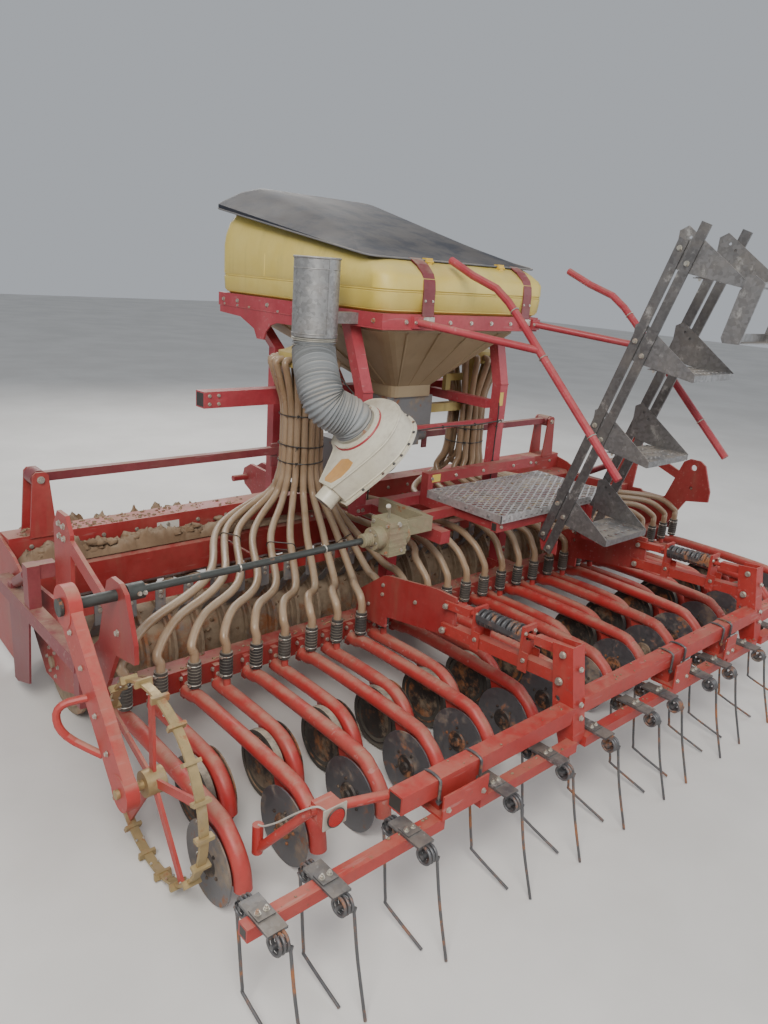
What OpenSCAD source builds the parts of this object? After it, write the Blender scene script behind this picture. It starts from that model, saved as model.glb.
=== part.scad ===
// Mounted pneumatic seed drill with power harrow, packer roller and folded ladder.
// X points to the machine's right, Y along travel, Z up from the ground.

/* [Seed rows] */
// Number of seed rows
row_count = 29; // [29:2:29]
// Distance between two rows
row_pitch = 138; // [136:0.5:140]
// Diameter of the cutting discs
disc_d = 270; // [260:1:276]
// Thickness of a cutting disc
disc_t = 5; // [4:0.5:6]
// Diameter of the depth wheels
gauge_d = 262; // [250:1:264]
// Width of the depth wheels
gauge_w = 26; // [20:1:30]
// Distance of the rear discs behind the boots
rear_disc_back = 670; // [650:1:690]
// Distance of the front discs behind the boots
front_disc_back = 350; // [330:1:360]
// Outer diameter of a coulter arm
arm_d = 56; // [50:1:58]
// Outer diameter of a rubber boot
boot_d = 50; // [46:1:56]
// Height of a boot's lower end above the ground
boot_z = 318; // [315:1:325]
// Length of a boot
boot_len = 108; // [100:1:120]
// Outer diameter of a seed hose
hose_d = 36; // [32:1:40]

/* [Coulter bar] */
// Overhang of the coulter bar beyond the outer rows
bar_over = 28; // [20:1:33]
// Side of the square coulter bar
bar_side = 90; // [85:1:95]
// Height of the coulter bar's top
bar_top = 345; // [340:1:350]
// Distance of the bar's rear face ahead of the boots
bar_ahead = 90; // [85:1:95]

/* [Power harrow] */
// Distance by which the gear trough is longer than the coulter bar at each end
trough_over = 35; // [25:1:40]
// Depth of the gear trough along travel
trough_y = 400; // [380:1:420]
// Distance of the trough's rear face ahead of the boots
trough_ahead = 930; // [920:1:950]
// Height of the trough's underside
trough_z = 350; // [345:1:360]
// Height of the trough itself
trough_h = 190; // [180:1:200]
// Number of rotors
rotor_count = 16; // [16:1:16]
// Distance between two rotors
rotor_pitch = 250; // [240:1:250]

/* [Packer roller] */
// Outer diameter of the packer roller
roller_d = 480; // [460:1:480]
// Gap between the packer roller and its side plates
roller_gap = 20; // [15:1:30]
// Distance of the roller's axis ahead of the boots
roller_ahead = 620; // [610:1:630]
// Diameter of the roller's stub axles
stub_d = 50; // [46:1:54]

/* [Hopper] */
// Half width of the hopper rail
rail_half = 555; // [550:1:560]
// Half width of the tank
tank_half = 585; // [580:1:595]
// Distance of the rail's rear ahead of the boots
rail_y0 = 270; // [260:1:280]
// Distance of the rail's front ahead of the boots
rail_y1 = 1710; // [1700:1:1720]
// Height of the rail's top
rail_top = 1710; // [1700:1:1720]
// Height of the rail profile
rail_h = 70; // [65:1:75]
// Height of the tank's top edge at its front
tank_front_z = 2155; // [2140:1:2165]
// Height of the tank's top edge at its rear
tank_rear_z = 1950; // [1940:1:1960]

/* [Ladder] */
// Position of the ladder's left side
ladder_x0 = 240; // [235:1:245]
// Position of the ladder's right side
ladder_x1 = 620; // [610:1:625]
// Lean of the folded ladder from the vertical
ladder_lean = 18.8; // [18:0.1:20]
// Length of the ladder's bars
ladder_len = 1690; // [1650:1:1700]

/* [Following harrow] */
// Distance of the harrow's upper tube behind the boots
harrow_back = 1070; // [1060:1:1080]
// Half width of the following harrow
harrow_half = 2120; // [2100:1:2130]
// Side of the harrow's square upper tubes
rack_tube = 60; // [56:1:64]

/* [Drive wheel] */
// Outer diameter of the drive wheel
wheel_d = 670; // [650:1:690]
// Sideways position of the drive wheel
wheel_x = -2044; // [-2050:1:-2040]

/* [Hidden] */
$fn = 40;
eps = 0.01;
seat = 0.3;
red = [0.62, 0.07, 0.09];
dark_red = [0.42, 0.05, 0.10];
steel = [0.45, 0.43, 0.42];
zinc = [0.60, 0.62, 0.63];
black = [0.07, 0.07, 0.08];
yellow = [0.80, 0.68, 0.18];
cream = [0.86, 0.83, 0.72];
tan = [0.58, 0.45, 0.32];
cast = [0.38, 0.38, 0.38];
lid_blue = [0.15, 0.18, 0.24];

lid_front = rail_y1 + 30;
link_x = 5.5 * row_pitch - 30;
bar_half = (row_count - 1) / 2 * row_pitch + bar_over;
trough_half = bar_half + trough_over;
roller_half = bar_half - roller_gap;
side_in = bar_half + seat;
side_t = 16;
tine_d = 10;
tine_root = [-harrow_back - 122, 318];
tine_tip = [-harrow_back - 220, 2];
tine_run = tine_tip - tine_root;
guard_reach = 218;
guard_d = 26;
x_left = wheel_x - guard_reach - guard_d / 2;
y_rear = tine_tip.x + tine_d / 2 * tine_run.y / norm(tine_run);
hinge_d = 12;
hinge_y = lid_front + 22;
y_front = hinge_y + hinge_d;
frame_shift = [-(x_left + harrow_half) / 2, -(y_front + y_rear) / 2, 0];

disc_r = disc_d / 2;
disc_side = arm_d / 2 + 6;
mid_row = (row_count + 1) / 2;
bar_y0 = bar_ahead;
bar_y1 = bar_ahead + bar_side;
bar_z0 = bar_top - bar_side;
trough_y0 = trough_ahead;
trough_y1 = trough_ahead + trough_y;
trough_top = trough_z + trough_h;
roller_r = roller_d / 2;
hub_r = 17;
axle_gap = 0.05;

function row_x(i) = (i - mid_row) * row_pitch;
function unit(v) = v / norm(v);
function clampi(i, n) = min(max(i, 0), n - 1);
function tangent(p, i) = unit(p[clampi(i + 1, len(p))] - p[clampi(i - 1, len(p))]);
function first_normal(t) = abs(t.x) < 0.9 ? [1, 0, 0] : [0, 0, 1];
function carried(prev, t) = unit(prev - (prev * t) * t);
function normals(p, i, acc) = i == len(p) ? acc
    : normals(p, i + 1, concat(acc, [carried(i == 0 ? first_normal(tangent(p, 0)) : acc[i - 1],
        tangent(p, i))]));
function spline_at(p, s, t) = let (
    a = p[clampi(s - 1, len(p))],
    b = p[s],
    c = p[clampi(s + 1, len(p))],
    d = p[clampi(s + 2, len(p))])
    0.5 * ((2 * b) + (c - a) * t + (2 * a - 5 * b + 4 * c - d) * t * t + (3 * b - a - 3 * c
        + d) * t * t * t);
function spline(p, k) = concat([for (s = [0 : len(p) - 2]) for (j = [0 : k - 1]) spline_at(p, s, j / k)],
    [p[len(p) - 1]]);

// Box between two corners
module bx(x0, x1, y0, y1, z0, z1) {
    translate([x0, y0, z0])
        cube([x1 - x0, y1 - y0, z1 - z0]);
}

// Round bar between two points
module rod(p, q, d, sides = 24) {
    v = q - p;
    n = norm(v);
    translate(p)
        rotate([0, acos(v.z / n), atan2(v.y, v.x)])
            cylinder(d = d, h = n, $fn = sides);
}

// Disc or pin along X
module xcyl(x0, x1, y, z, d, sides = 40) {
    translate([x0, y, z])
        rotate([0, 90, 0])
            cylinder(d = d, h = x1 - x0, $fn = sides);
}

// Rectangular bar in a plane across X, from one point to another
module flat_bar(x0, x1, y0, z0, y1, z1, w) {
    n = norm([y1 - y0, z1 - z0]);
    translate([x0, y0, z0])
        rotate([atan2(z1 - z0, y1 - y0), 0, 0])
            translate([0, 0, -w / 2])
                cube([x1 - x0, n, w]);
}

// Plate across X from an outline of (y, z) points
module plate(x0, x1, outline) {
    translate([x0, 0, 0])
        rotate([90, 0, 90])
            linear_extrude(height = x1 - x0)
                polygon(outline);
}

// Round tube swept along points
module sweep(p, r, sides) {
    n = normals(p, 0, []);
    m = len(p);
    ring = [for (i = [0 : m - 1]) for (k = [0 : sides - 1])
        p[i] + r * (cos(360 * k / sides) * n[i] + sin(360 * k / sides) * cross(tangent(p, i), n[i]))];
    walls = [for (i = [0 : m - 2]) for (k = [0 : sides - 1]) each [
        [i * sides + k, (i + 1) * sides + (k + 1) % sides, i * sides + (k + 1) % sides],
        [i * sides + k, (i + 1) * sides + k, (i + 1) * sides + (k + 1) % sides]]];
    start = [[for (k = [0 : sides - 1]) k]];
    end = [[for (k = [sides - 1 : -1 : 0]) (m - 1) * sides + k]];
    polyhedron(points = ring, faces = concat(walls, start, end), convexity = 6);
}

// Hinge point of the marker arms
marker_x = trough_half - 150;
marker_y = trough_y0 + 175;
marker_z = 905;
ear_t = 12;
ear_gap = 52;
marker_pin_d = 24;
wall_t = 12;

// Power harrow: gear trough, top beam, end plates and marker ears
module harrow_trough() {
    color(red)
        translate(frame_shift) {
            plate(-trough_half, trough_half,
                [[trough_y0, trough_z + 30], [trough_y0, trough_top - 20], [trough_y0 + 25, trough_top],
                    [trough_y1 - 25, trough_top],
                 [trough_y1, trough_top - 20], [trough_y1, trough_z + 30], [trough_y1 - 40, trough_z],
                     [trough_y0 + 40, trough_z]]);
            bx(-trough_half, trough_half, trough_y0 + 120, trough_y0 + 240, trough_top, trough_top + 110);
            for (s = [-1, 1])
                plate(s * (trough_half + wall_t / 2) - wall_t / 2,
                    s * (trough_half + wall_t / 2) + wall_t / 2,
                    [[trough_y0 - 40, 150], [trough_y0 - 60, 210], [trough_y0 - 60, trough_top + 20],
                        [trough_y0 + 30, trough_top + 60],
                     [trough_y0 + 260, trough_top + 110], [trough_y1, trough_top + 40],
                         [trough_y1 + 60, 90], [trough_y0 + 60, 60]]);
            for (s = [-1, 1]) {
                for (e = [-1, 1])
                    translate([0, marker_y + e * (ear_gap + ear_t / 2) - ear_t / 2, 0])
                        rotate([90, 0, 0])
                            translate([0, 0, -ear_t])
                                linear_extrude(height = ear_t)
                                    polygon([[s * marker_x - 60, trough_top + 100],
                                        [s * marker_x + 60, trough_top + 100],
                                        [s * marker_x + 34, marker_z + 20],
                                            [s * marker_x + 20, marker_z + 34],
                                        [s * marker_x - 20, marker_z + 34],
                                            [s * marker_x - 34, marker_z + 20]]);
                translate([s * marker_x, marker_y - ear_gap - ear_t / 2, marker_z])
                    rotate([-90, 0, 0])
                        cylinder(d = marker_pin_d - 2 * axle_gap, h = 2 * ear_gap + ear_t);
            }
        }
}

// Power harrow rotors with their upright blades
module rotor_tines() {
    color(steel)
        translate(frame_shift)
            for (i = [0 : rotor_count - 1])
                translate([(i - (rotor_count - 1) / 2) * rotor_pitch, trough_y0 + trough_y / 2, 0])
                    rotate([0, 0, i % 2 == 0 ? 20 : 110]) {
                        translate([0, 0, trough_z - 60])
                            cylinder(d = 110, h = 60 - seat);
                        for (s = [-1, 1])
                            translate([s * 95 - 9, -28, 0])
                                cube([18, 56, 300]);
                        translate([-110, -30, 262])
                            cube([220, 60, 40]);
                    }
}

// Headstock with lower link ears and pins and the top link plates
pin_ear = 440;
link_pin_d = 36.6;
link_pin_len = 96;
link_pin_at = [trough_y1 + 260, 620];
top_pin_d = 32;
top_pin_at = [trough_y1 + 120, 1290];

module headstock() {
    color(red)
        translate(frame_shift) {
            for (s = [-1, 1]) {
                for (e = [0, 1])
                    plate(s * (pin_ear - e * 80) - 10, s * (pin_ear - e * 80) + 10,
                        [[trough_y1 + seat, trough_z + 35], [trough_y1 + seat, trough_top - 20],
                            [front_y1 + seat, trough_top - 4],
                         [front_y1 + seat, trough_top + 160], [link_pin_at.x - 40, 710],
                             [link_pin_at.x + 30, 670],
                         [link_pin_at.x + 46, 620], [link_pin_at.x + 20, 570], [link_pin_at.x - 40, 545],
                         [trough_y1 + 60, trough_z + 35]]);
                xcyl(s > 0 ? pin_ear - 90 : -pin_ear - 10 - link_pin_len,
                    s > 0 ? pin_ear + 10 + link_pin_len : -pin_ear + 90,
                    link_pin_at.x, link_pin_at.y, link_pin_d);
            }
            difference() {
                for (s = [-1, 1])
                    plate(s * 52 - 8, s * 52 + 8,
                        [[trough_y0 + 180, trough_top + 110], [trough_y0 + 180, 1000], [1400, 1340],
                            [1480, 1345], [1510, 1300],
                         [1490, 1240], [trough_y0 + 330, 930], [trough_y0 + 239, 920],
                             [trough_y0 + 239, trough_top + 110]]);
                xcyl(-70, 70, top_pin_at.x, top_pin_at.y, top_pin_d);
            }
        }
}

// Gearbox with its input shaft
shaft_d = 34.9;
shaft_len = 140;
gearbox_top = 900;

module gearbox() {
    color(cast)
        translate(frame_shift) {
            bx(-80 + seat, 80 - seat, trough_y0 + 240 + seat, trough_y1 + 60, trough_top, gearbox_top);
            translate([0, trough_y1 + 20, 780])
                rotate([-90, 0, 0])
                    cylinder(d = 130, h = 40);
            translate([0, trough_y1 + 60, 780])
                rotate([-90, 0, 0])
                    cylinder(d = shaft_d, h = shaft_len);
        }
}

// Packer roller with its rings and stub axles
ring_count = 31;

module packer_roller() {
    color(steel)
        translate(frame_shift) {
            xcyl(-roller_half, roller_half, roller_ahead, roller_r, roller_d - 110);
            for (i = [0 : ring_count - 1]) {
                x = (i / (ring_count - 1) - 0.5) * 2 * (roller_half - 20);
                xcyl(x - 7, x + 7, roller_ahead, roller_r, roller_d);
                xcyl(x - 16, x + 16, roller_ahead, roller_r, roller_d - 70);
            }
            xcyl(-side_in - side_t - 10, side_in + side_t + 10, roller_ahead, roller_r,
                stub_d - 2 * axle_gap);
        }
}

// Side arms of the packer with bearing plates, risers, upper links and scraper bar
module packer_frame() {
    color(red)
        translate(frame_shift) {
            for (s = [-1, 1])
                translate([s > 0 ? side_in : -side_in - side_t, 0, 0])
                    difference() {
                        union() {
                            plate(0, side_t,
                                [[80, 270], [60, 400], [300, 560], [trough_y0, trough_top - 20],
                                    [trough_y0, trough_z + 40],
                                 [roller_ahead + 90, roller_r - 90], [roller_ahead - 90, roller_r - 90],
                                     [300, 230]]);
                            plate(0, side_t, [[370, 520], [345, 880], [385, 945], [470, 945], [515, 880],
                                [530, 520]]);
                            plate(0, side_t,
                                [[60, 380], [-40, 560], [-190, 590], [-190, 660], [-130, 820], [-90, 846],
                                    [-20, 846], [20, 820],
                                 [110, 560], [200, 480]]);
                            flat_bar(0, side_t, 430, 860, -40, 690, 56);
                        }
                        xcyl(-1, side_t + 1, roller_ahead, roller_r, stub_d);
                        xcyl(-1, side_t + 1, drive_at.x, drive_at.y, arm_bore);
                        for (q = [[405, 900], [450, 900], [405, 850], [450, 850], [-60, 655]])
                            xcyl(-1, side_t + 1, q.x, q.y, 22, 16);
                    }
            bx(-side_in - 2, side_in + 2, 400, 450, 520, 570);
            for (s = [-1, 1])
                bx(s * 1000 - 6, s * 1000 + 6, 440, trough_y0, 525, trough_top - 25);
        }
}

// Frames at both ends with their spring and side shield
module end_frames() {
    color(dark_red)
        translate(frame_shift)
            for (s = [-1, 1])
                translate([s * (trough_half + wall_t + 40), 0, 0]) {
                    bx(-28, 28, 90, trough_y0 + 60, 462, 522);
                    bx(-25, 25, 60, 110, 330, 522);
                    bx(-24, 24, 560, 620, 500, 700);
                    bx(min(-s * 90, 0), max(-s * 90, 0), 565, 615, 640, 700);
                    plate(-4, 4, [[640, 480], [700, 120], [860, 60], [900, 60], [900, 480]]);
                    bx(s > 0 ? -40 : 0, s > 0 ? 0 : 40, trough_y0 - 20, trough_y0 + 60, 470, 514);
                    rod([0, 640, 640], [0, 780, 560], 46, 20);
                    rod([0, 590, 670], [0, 830, 532], 20, 16);
                    bx(-20, 20, 805, 845, 500, 545);
                }
}

// Square coulter bar with brackets, post seats and side plates of the harrow links
module coulter_bar() {
    color(red)
        translate(frame_shift)
            union() {
                bx(-bar_half, bar_half, bar_y0, bar_y1, bar_z0, bar_top);
                for (i = [1 : row_count])
                    bx(row_x(i) - 14, row_x(i) + 14, bar_y0 - 26, bar_y0 + 1, bar_z0 - 20, bar_top - 8);
                for (s = [-1, 1]) {
                    difference() {
                        plate(s * link_x - 6, s * link_x + 6,
                            [[bar_y0 + 60, bar_top - 10], [bar_y0 + 40, 470], [-20, 585], [-60, 600],
                                [-360, 645], [-470, 645],
                             [-478, 470], [-300, 440], [-60, 400], [-60, 345]]);
                        for (q = [[-30, 500], [-30, 545], [-240, 540]])
                            xcyl(s * link_x - 7, s * link_x + 7, q.x, q.y, 20, 16);
                    }
                    xcyl(s * link_x - 38, s * link_x + 38, lower_front.x, lower_front.y,
                        lower_pin_d - 2 * axle_gap);
                    xcyl(s * link_x - 32, s * link_x + 32, upper_front.x, upper_front.y,
                        upper_pin_d - 2 * axle_gap);
                }
                for (x = [post_left, post_right])
                    bx(x - post_w / 2 - 10, x + post_w / 2 + 10, bar_y1 - 1, post_y1, bar_z0 + 10, bar_top);
            }
}

// Long and short coulter arms with skirt plates and seed pipes
arm_start = bar_y0 - 26 - seat;
long_path = [
    [arm_start, 272], [arm_start - 20, 272], [arm_start - 50, 273], [-90, 288],
        [-rear_disc_back + 50, 285], [-rear_disc_back - 60, 255],
    [-rear_disc_back - 125, 190], [-rear_disc_back - 142, 120]];
short_path = [
    [arm_start, 258], [arm_start - 20, 258], [arm_start - 50, 258], [-70, 262],
        [-front_disc_back + 20, 262], [-front_disc_back - 80, 235],
    [-front_disc_back - 135, 175], [-front_disc_back - 148, 120]];

module coulter_arm(i, path, hub_y) {
    x = row_x(i);
    sweep(spline([for (p = path) [x, p.x, p.y]], 2), arm_d / 2, 8);
    rod([x, -8, 280], [x, 0, boot_z + 30], 30, 16);
    plate(x - 5, x + 5, [[hub_y + 120, 268], [hub_y + 60, disc_r - 32], [hub_y - 30, disc_r - 52],
        [hub_y - 130, disc_r - 32], [hub_y - 110, 240]]);
}

module arms_long() {
    color(red)
        translate(frame_shift)
            for (i = [1 : 2 : row_count])
                difference() {
                    coulter_arm(i, long_path, -rear_disc_back);
                    xcyl(row_x(i) - 40, row_x(i) + 40, -rear_disc_back, disc_r, 2 * hub_r);
                }
}

module arms_short() {
    color(red)
        translate(frame_shift)
            for (i = [2 : 2 : row_count - 1])
                difference() {
                    coulter_arm(i, short_path, -front_disc_back);
                    xcyl(row_x(i) - 40, row_x(i) + 40, -front_disc_back, disc_r, 2 * hub_r);
                }
}

// Rubber boots that hold the seed hoses
module boots() {
    color(black)
        translate(frame_shift)
            for (i = [1 : row_count])
                difference() {
                    translate([row_x(i), 0, boot_z])
                        cylinder(d = boot_d, h = boot_len, $fn = 24);
                    rod([row_x(i), -8, 280], [row_x(i), 0, boot_z + 30], 30 + 2 * seat, 16);
                }
}

// Rear cutting discs, turning together on one axis
module discs_rear() {
    color(steel)
        translate(frame_shift)
            for (i = [1 : 2 : row_count]) {
                x = row_x(i);
                xcyl(x - disc_side - disc_t, x - disc_side, -rear_disc_back, disc_r, disc_d);
                xcyl(x - disc_side - 20, x + 20, -rear_disc_back, disc_r, 2 * (hub_r - axle_gap), 32);
                xcyl(x - disc_side, x - 12, -rear_disc_back, disc_r, 80, 32);
                xcyl(x + 12, x + 20, -rear_disc_back, disc_r, 60, 32);
            }
}

// Front cutting discs
module discs_front() {
    color(steel)
        translate(frame_shift)
            for (i = [2 : 2 : row_count - 1]) {
                x = row_x(i);
                xcyl(x + disc_side, x + disc_side + disc_t, -front_disc_back, disc_r, disc_d);
                xcyl(x - disc_side, x + disc_side + 10, -front_disc_back, disc_r, 2 * (hub_r - axle_gap),
                    32);
                xcyl(x + 12, x + disc_side, -front_disc_back, disc_r, 80, 32);
            }
}

// Depth wheels beside the front discs
module wheels_front() {
    color(black)
        translate(frame_shift)
            for (i = [2 : 2 : row_count - 1]) {
                x = row_x(i);
                xcyl(x - disc_side - gauge_w, x - disc_side, -front_disc_back, disc_r, gauge_d);
            }
}

// Hopper rail, posts, gussets and cross beams
hopper_x = -30;
post_w = 62;
post_y0 = 250;
post_y1 = post_y0 + post_w;
post_left = -430;
post_right = 430;
main_post = 500;
side_beam = 450;
side_beam_top = 1245;
main_y0 = 400;
main_y1 = main_y0 + post_w;
main_left = hopper_x - main_post;
main_right = hopper_x + main_post;
sub_z0 = 722;
sub_z1 = 770;
front_post = 410;
front_y0 = trough_y1 - 45;
front_y1 = front_y0 + post_w;
rail_low = rail_top - rail_h;
gusset = [
    [rail_y1 - 15, rail_low + 2], [rail_y1 - 15, rail_low - 38], [1470, rail_low - 48], [1330, 1540],
    [1300, 1490], [1235, 1490], [1215, 1530], [1170, 1572], [1110, rail_low - 50], [900, rail_low - 48],
    [900, rail_low + 2]];

module bent_post(x, y, z0, top_x, top_y, w, bend_z) {
    bx(x - w / 2, x + w / 2, y, y + w, z0, bend_z);
    hull() {
        bx(x - w / 2, x + w / 2, y, y + w, bend_z - 1, bend_z);
        bx(top_x - w / 2, top_x + w / 2, top_y, top_y + w, rail_low, rail_low + 1);
    }
}

module hopper_frame() {
    color(red)
        translate(frame_shift) {
            difference() {
                bx(hopper_x - rail_half, hopper_x + rail_half, rail_y0, rail_y1, rail_low, rail_top);
                bx(hopper_x - rail_half + 50, hopper_x + rail_half - 50, rail_y0 + 50, rail_y1 - 50,
                    rail_low - 1, rail_top + 1);
            }
            bx(post_left - post_w / 2, post_left + post_w / 2, post_y0, post_y1, bar_top, 830);
            bx(post_right - post_w / 2, post_right + post_w / 2, post_y0, post_y1, bar_top, sub_z1);
            for (x = [post_left, post_right])
                bx(x - post_w / 2, x + post_w / 2, post_y1 - 1, main_y0 + 1, sub_z0, sub_z1);
            bx(main_left - post_w / 2, main_right + post_w / 2, main_y0, main_y1, sub_z0, sub_z1);
            for (x = [main_left, main_right])
                bent_post(x, main_y0, sub_z0, x + (x < hopper_x ? -23 : 23), main_y0 + 100, post_w, 1335);
            for (s = [-1, 1]) {
                bent_post(hopper_x + s * front_post, front_y0, trough_top,
                    hopper_x + s * (rail_half - 40), front_y0 + 90, post_w, 1440);
                plate(hopper_x + s * (rail_half - 6) - 5, hopper_x + s * (rail_half - 6) + 5, gusset);
                bx(hopper_x + s * front_post - 25, hopper_x + s * front_post + 25, beam_y0 + 79,
                    front_y0 + 1, 1205, 1265);
                bx(hopper_x + s * side_beam - 25, hopper_x + s * side_beam + 25, main_y1 - 2, beam_y0 + 1,
                    1195, side_beam_top);
            }
            bx(-1100, 620, beam_y0, beam_y0 + 80, 1195, 1275);
            bx(main_left, main_right, main_y0 + 20, main_y0 + 45, 1115, 1140);
        }
}

// Sloping top of the tank
tank_y0 = rail_y0 + 110;
tank_y1 = rail_y1 + 5;
tank_x = tank_half;
seam_z = rail_top + 95;
function tank_top(y) = tank_rear_z + (tank_front_z - tank_rear_z) * (y - tank_y0) / (tank_y1 - tank_y0);

// Points of a rectangle with rounded corners, as [x, y]
function rounded_corner(cx, cy, r, from, k) = [for (j = [0 : k]) [cx + r * cos(from + 90 * j / k),
    cy + r * sin(from + 90 * j / k)]];
function rounded_rect(x, y0, y1, r, k) = concat(
    rounded_corner(x - r, y1 - r, r, 0, k), rounded_corner(-x + r, y1 - r, r, 90, k),
    rounded_corner(-x + r, y0 + r, r, 180, k), rounded_corner(x - r, y0 + r, r, 270, k));

// Closed skin over rings that all have the same number of points
module loft(rings) {
    n = len(rings[0]);
    m = len(rings);
    walls = [for (i = [0 : m - 2]) for (k = [0 : n - 1]) each [
        [i * n + k, i * n + (k + 1) % n, (i + 1) * n + (k + 1) % n],
        [i * n + k, (i + 1) * n + (k + 1) % n, (i + 1) * n + k]]];
    bottom = [[for (k = [n - 1 : -1 : 0]) k]];
    top = [[for (k = [0 : n - 1]) (m - 1) * n + k]];
    polyhedron(points = [for (r = rings) each r], faces = concat(bottom, walls, top), convexity = 4);
}

// Hinge of the lid on the tank's front wall
hinge_z = tank_front_z - 5;
hinge_x = 400;

// Rings of the moulded tank: inset, rear edge, height as a share of the way from the rail to the sloping top
tank_table = [[28, 30, 0, 0], [4, 8, 22, 0], [0, 0, 92, 0], [5, 6, 96, 0], [5, 6, 104, 0], [0, 0, 108, 0],
    [0, 4, 0, 0.45], [6, 20, 0, 0.62], [22, 62, 0, 0.82], [52, 118, 0, 0.995]];
function tank_z(row, y) = row[3] == 0 ? rail_top + row[2] : rail_top + 108
    + (tank_top(y) - rail_top - 108) * row[3];
function tank_ring(row) = [for (q = rounded_rect(tank_x - row[0], rail_y0 + 3 + row[1], tank_y1 - row[0],
    90, 4))
    [q.x, q.y, tank_z(row, q.y)]];

module tank() {
    color(yellow)
        translate(frame_shift) {
            loft([for (row = tank_table) tank_ring(row)]);
            for (s = [-1, 1]) {
                bx(s * (hinge_x + 6) - 6, s * (hinge_x + 6) + 6, tank_y1 - 60, hinge_y + hinge_d,
                    hinge_z - 60, tank_top(tank_y1 - 60) - 2);
                bx(s * (hinge_x + 6) - 6, s * (hinge_x + 6) + 6, lid_front + seat, hinge_y + hinge_d,
                    hinge_z - 60, hinge_z + hinge_d);
                xcyl(s * (hinge_x + 20) - 20, s * (hinge_x + 20) + 20, hinge_y, hinge_z,
                    hinge_d - 2 * axle_gap, 24);
            }
        }
}

// Tapered underside of the tank
funnel_low = [150, 640, 920, 1250];

module tank_funnel() {
    color(tan)
        translate(frame_shift)
            loft([
                [for (q = rounded_rect(funnel_low[0], funnel_low[1], funnel_low[2], 40, 3)) [q.x, q.y,
                    funnel_low[3]]],
                [for (q = rounded_rect(funnel_low[0], funnel_low[1], funnel_low[2], 40, 3)) [q.x, q.y,
                    funnel_low[3] + 60]],
                [for (q = rounded_rect(rail_half - 82, rail_y0 + 72, rail_y1 - 72, 60,
                    3)) [q.x + hopper_x, q.y, rail_low - 20]],
                [for (q = rounded_rect(rail_half - 80, rail_y0 + 70, rail_y1 - 70, 60,
                    3)) [q.x + hopper_x, q.y, rail_top - seat]]]);
}

// Raised, overhanging lid, as rings: inset at the sides, front edge back, rear edge forward, height share
lid_x = tank_half + 15;
lid_rear = rail_y0 + 105;
lid_table = [[14, 0, 0, 0], [0, 0, 0, 0.04], [0, 0, 0, 0.16], [30, 14, 60, 0.30], [110, 60, 190, 0.66],
    [165, 100, 260, 0.84], [185, 130, 300, 0.93], [240, 190, 380, 1]];
function lid_thick(y) = 14 + 156 * (y - lid_rear) / (lid_front - lid_rear);
function lid_ring(row) = [for (q = rounded_rect(lid_x - row[0], lid_rear + row[2], lid_front - row[1], 60,
    3))
    [q.x, q.y, tank_top(q.y) + seat + 1 + row[3] * lid_thick(q.y)]];

module lid() {
    color(lid_blue)
        translate(frame_shift) {
            loft([for (row = lid_table) lid_ring(row)]);
            for (s = [-1, 1])
                difference() {
                    bx(s * (hinge_x + 22) - 7, s * (hinge_x + 22) + 7, lid_front - 24, hinge_y + hinge_d,
                        hinge_z - hinge_d, hinge_z + 40);
                    xcyl(s * (hinge_x + 22) - 8, s * (hinge_x + 22) + 8, hinge_y, hinge_z, hinge_d, 24);
                }
        }
}

// Metering unit under the tank with its roller housing and air box
module metering_unit() {
    color(cast)
        translate(frame_shift) {
            bx(-170, 170, funnel_low[1] + 20, funnel_low[2] - 20, 1060, funnel_low[3] - seat);
            bx(-130, 130, funnel_low[1] + 60, funnel_low[2] - 60, 960, 1061);
            xcyl(-200, 200, funnel_low[1] + 110, 1010, 76, 24);
        }
}

// Position and size of the distribution heads and hose bundles
head_x = 620;
head_y = 800;
head_z = 1445;
head_r = 130;
head_h = 70;
beam_y0 = 942;
bundle_r = 99;

// Distribution heads with their feed pipes and arms to the side beams
function beam_from(s) = hopper_x + s * side_beam - s * head_x;

module distributors() {
    color(yellow)
        translate(frame_shift)
            for (s = [-1, 1])
                translate([s * head_x, head_y, 0]) {
                    translate([0, 0, head_z - head_h / 2])
                        cylinder(d = 2 * head_r, h = head_h);
                    translate([0, 0, head_z + head_h / 2 - 1])
                        cylinder(d1 = 2 * head_r - 20, d2 = 90, h = 34);
                    translate([0, 0, 1120])
                        cylinder(d = 64, h = head_z - head_h / 2 - 1119);
                    bx(s > 0 ? -head_x + 170 + seat : 0, s > 0 ? 0 : head_x - 170 - seat, -25, 25, 1120,
                        1170);
                    bx(beam_from(s) - 20, beam_from(s) + 20, -14, 14, side_beam_top + seat, 1340);
                    bx(min(beam_from(s), 0), max(beam_from(s), 0), -14, 14, 1300, 1340);
                }
}

// Fan: centre of the inlet face, tilt, scroll outline, outlet, motor and flange
fan_at = [-705, 250, 1203];
fan_turn = [0, 47, 172];
fan_depth = 110;
fan_outline = [
    [300, 140], [150, 200], [60, 228], [0, 235], [-75, 220], [-145, 175], [-178, 100], [-180, 0],
        [-158, -80],
    [-108, -128], [-40, -148], [40, -142], [105, -106], [140, -50], [300, 30]];
duct_d = 205;
duct_at = [-810, 470];
duct_low = 1590;
ring_h = 18;
function fan_axis(t) = fan_at + t * [sin(fan_turn.y) * cos(fan_turn.z), sin(fan_turn.y) * sin(fan_turn.z),
    cos(fan_turn.y)];

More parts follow.
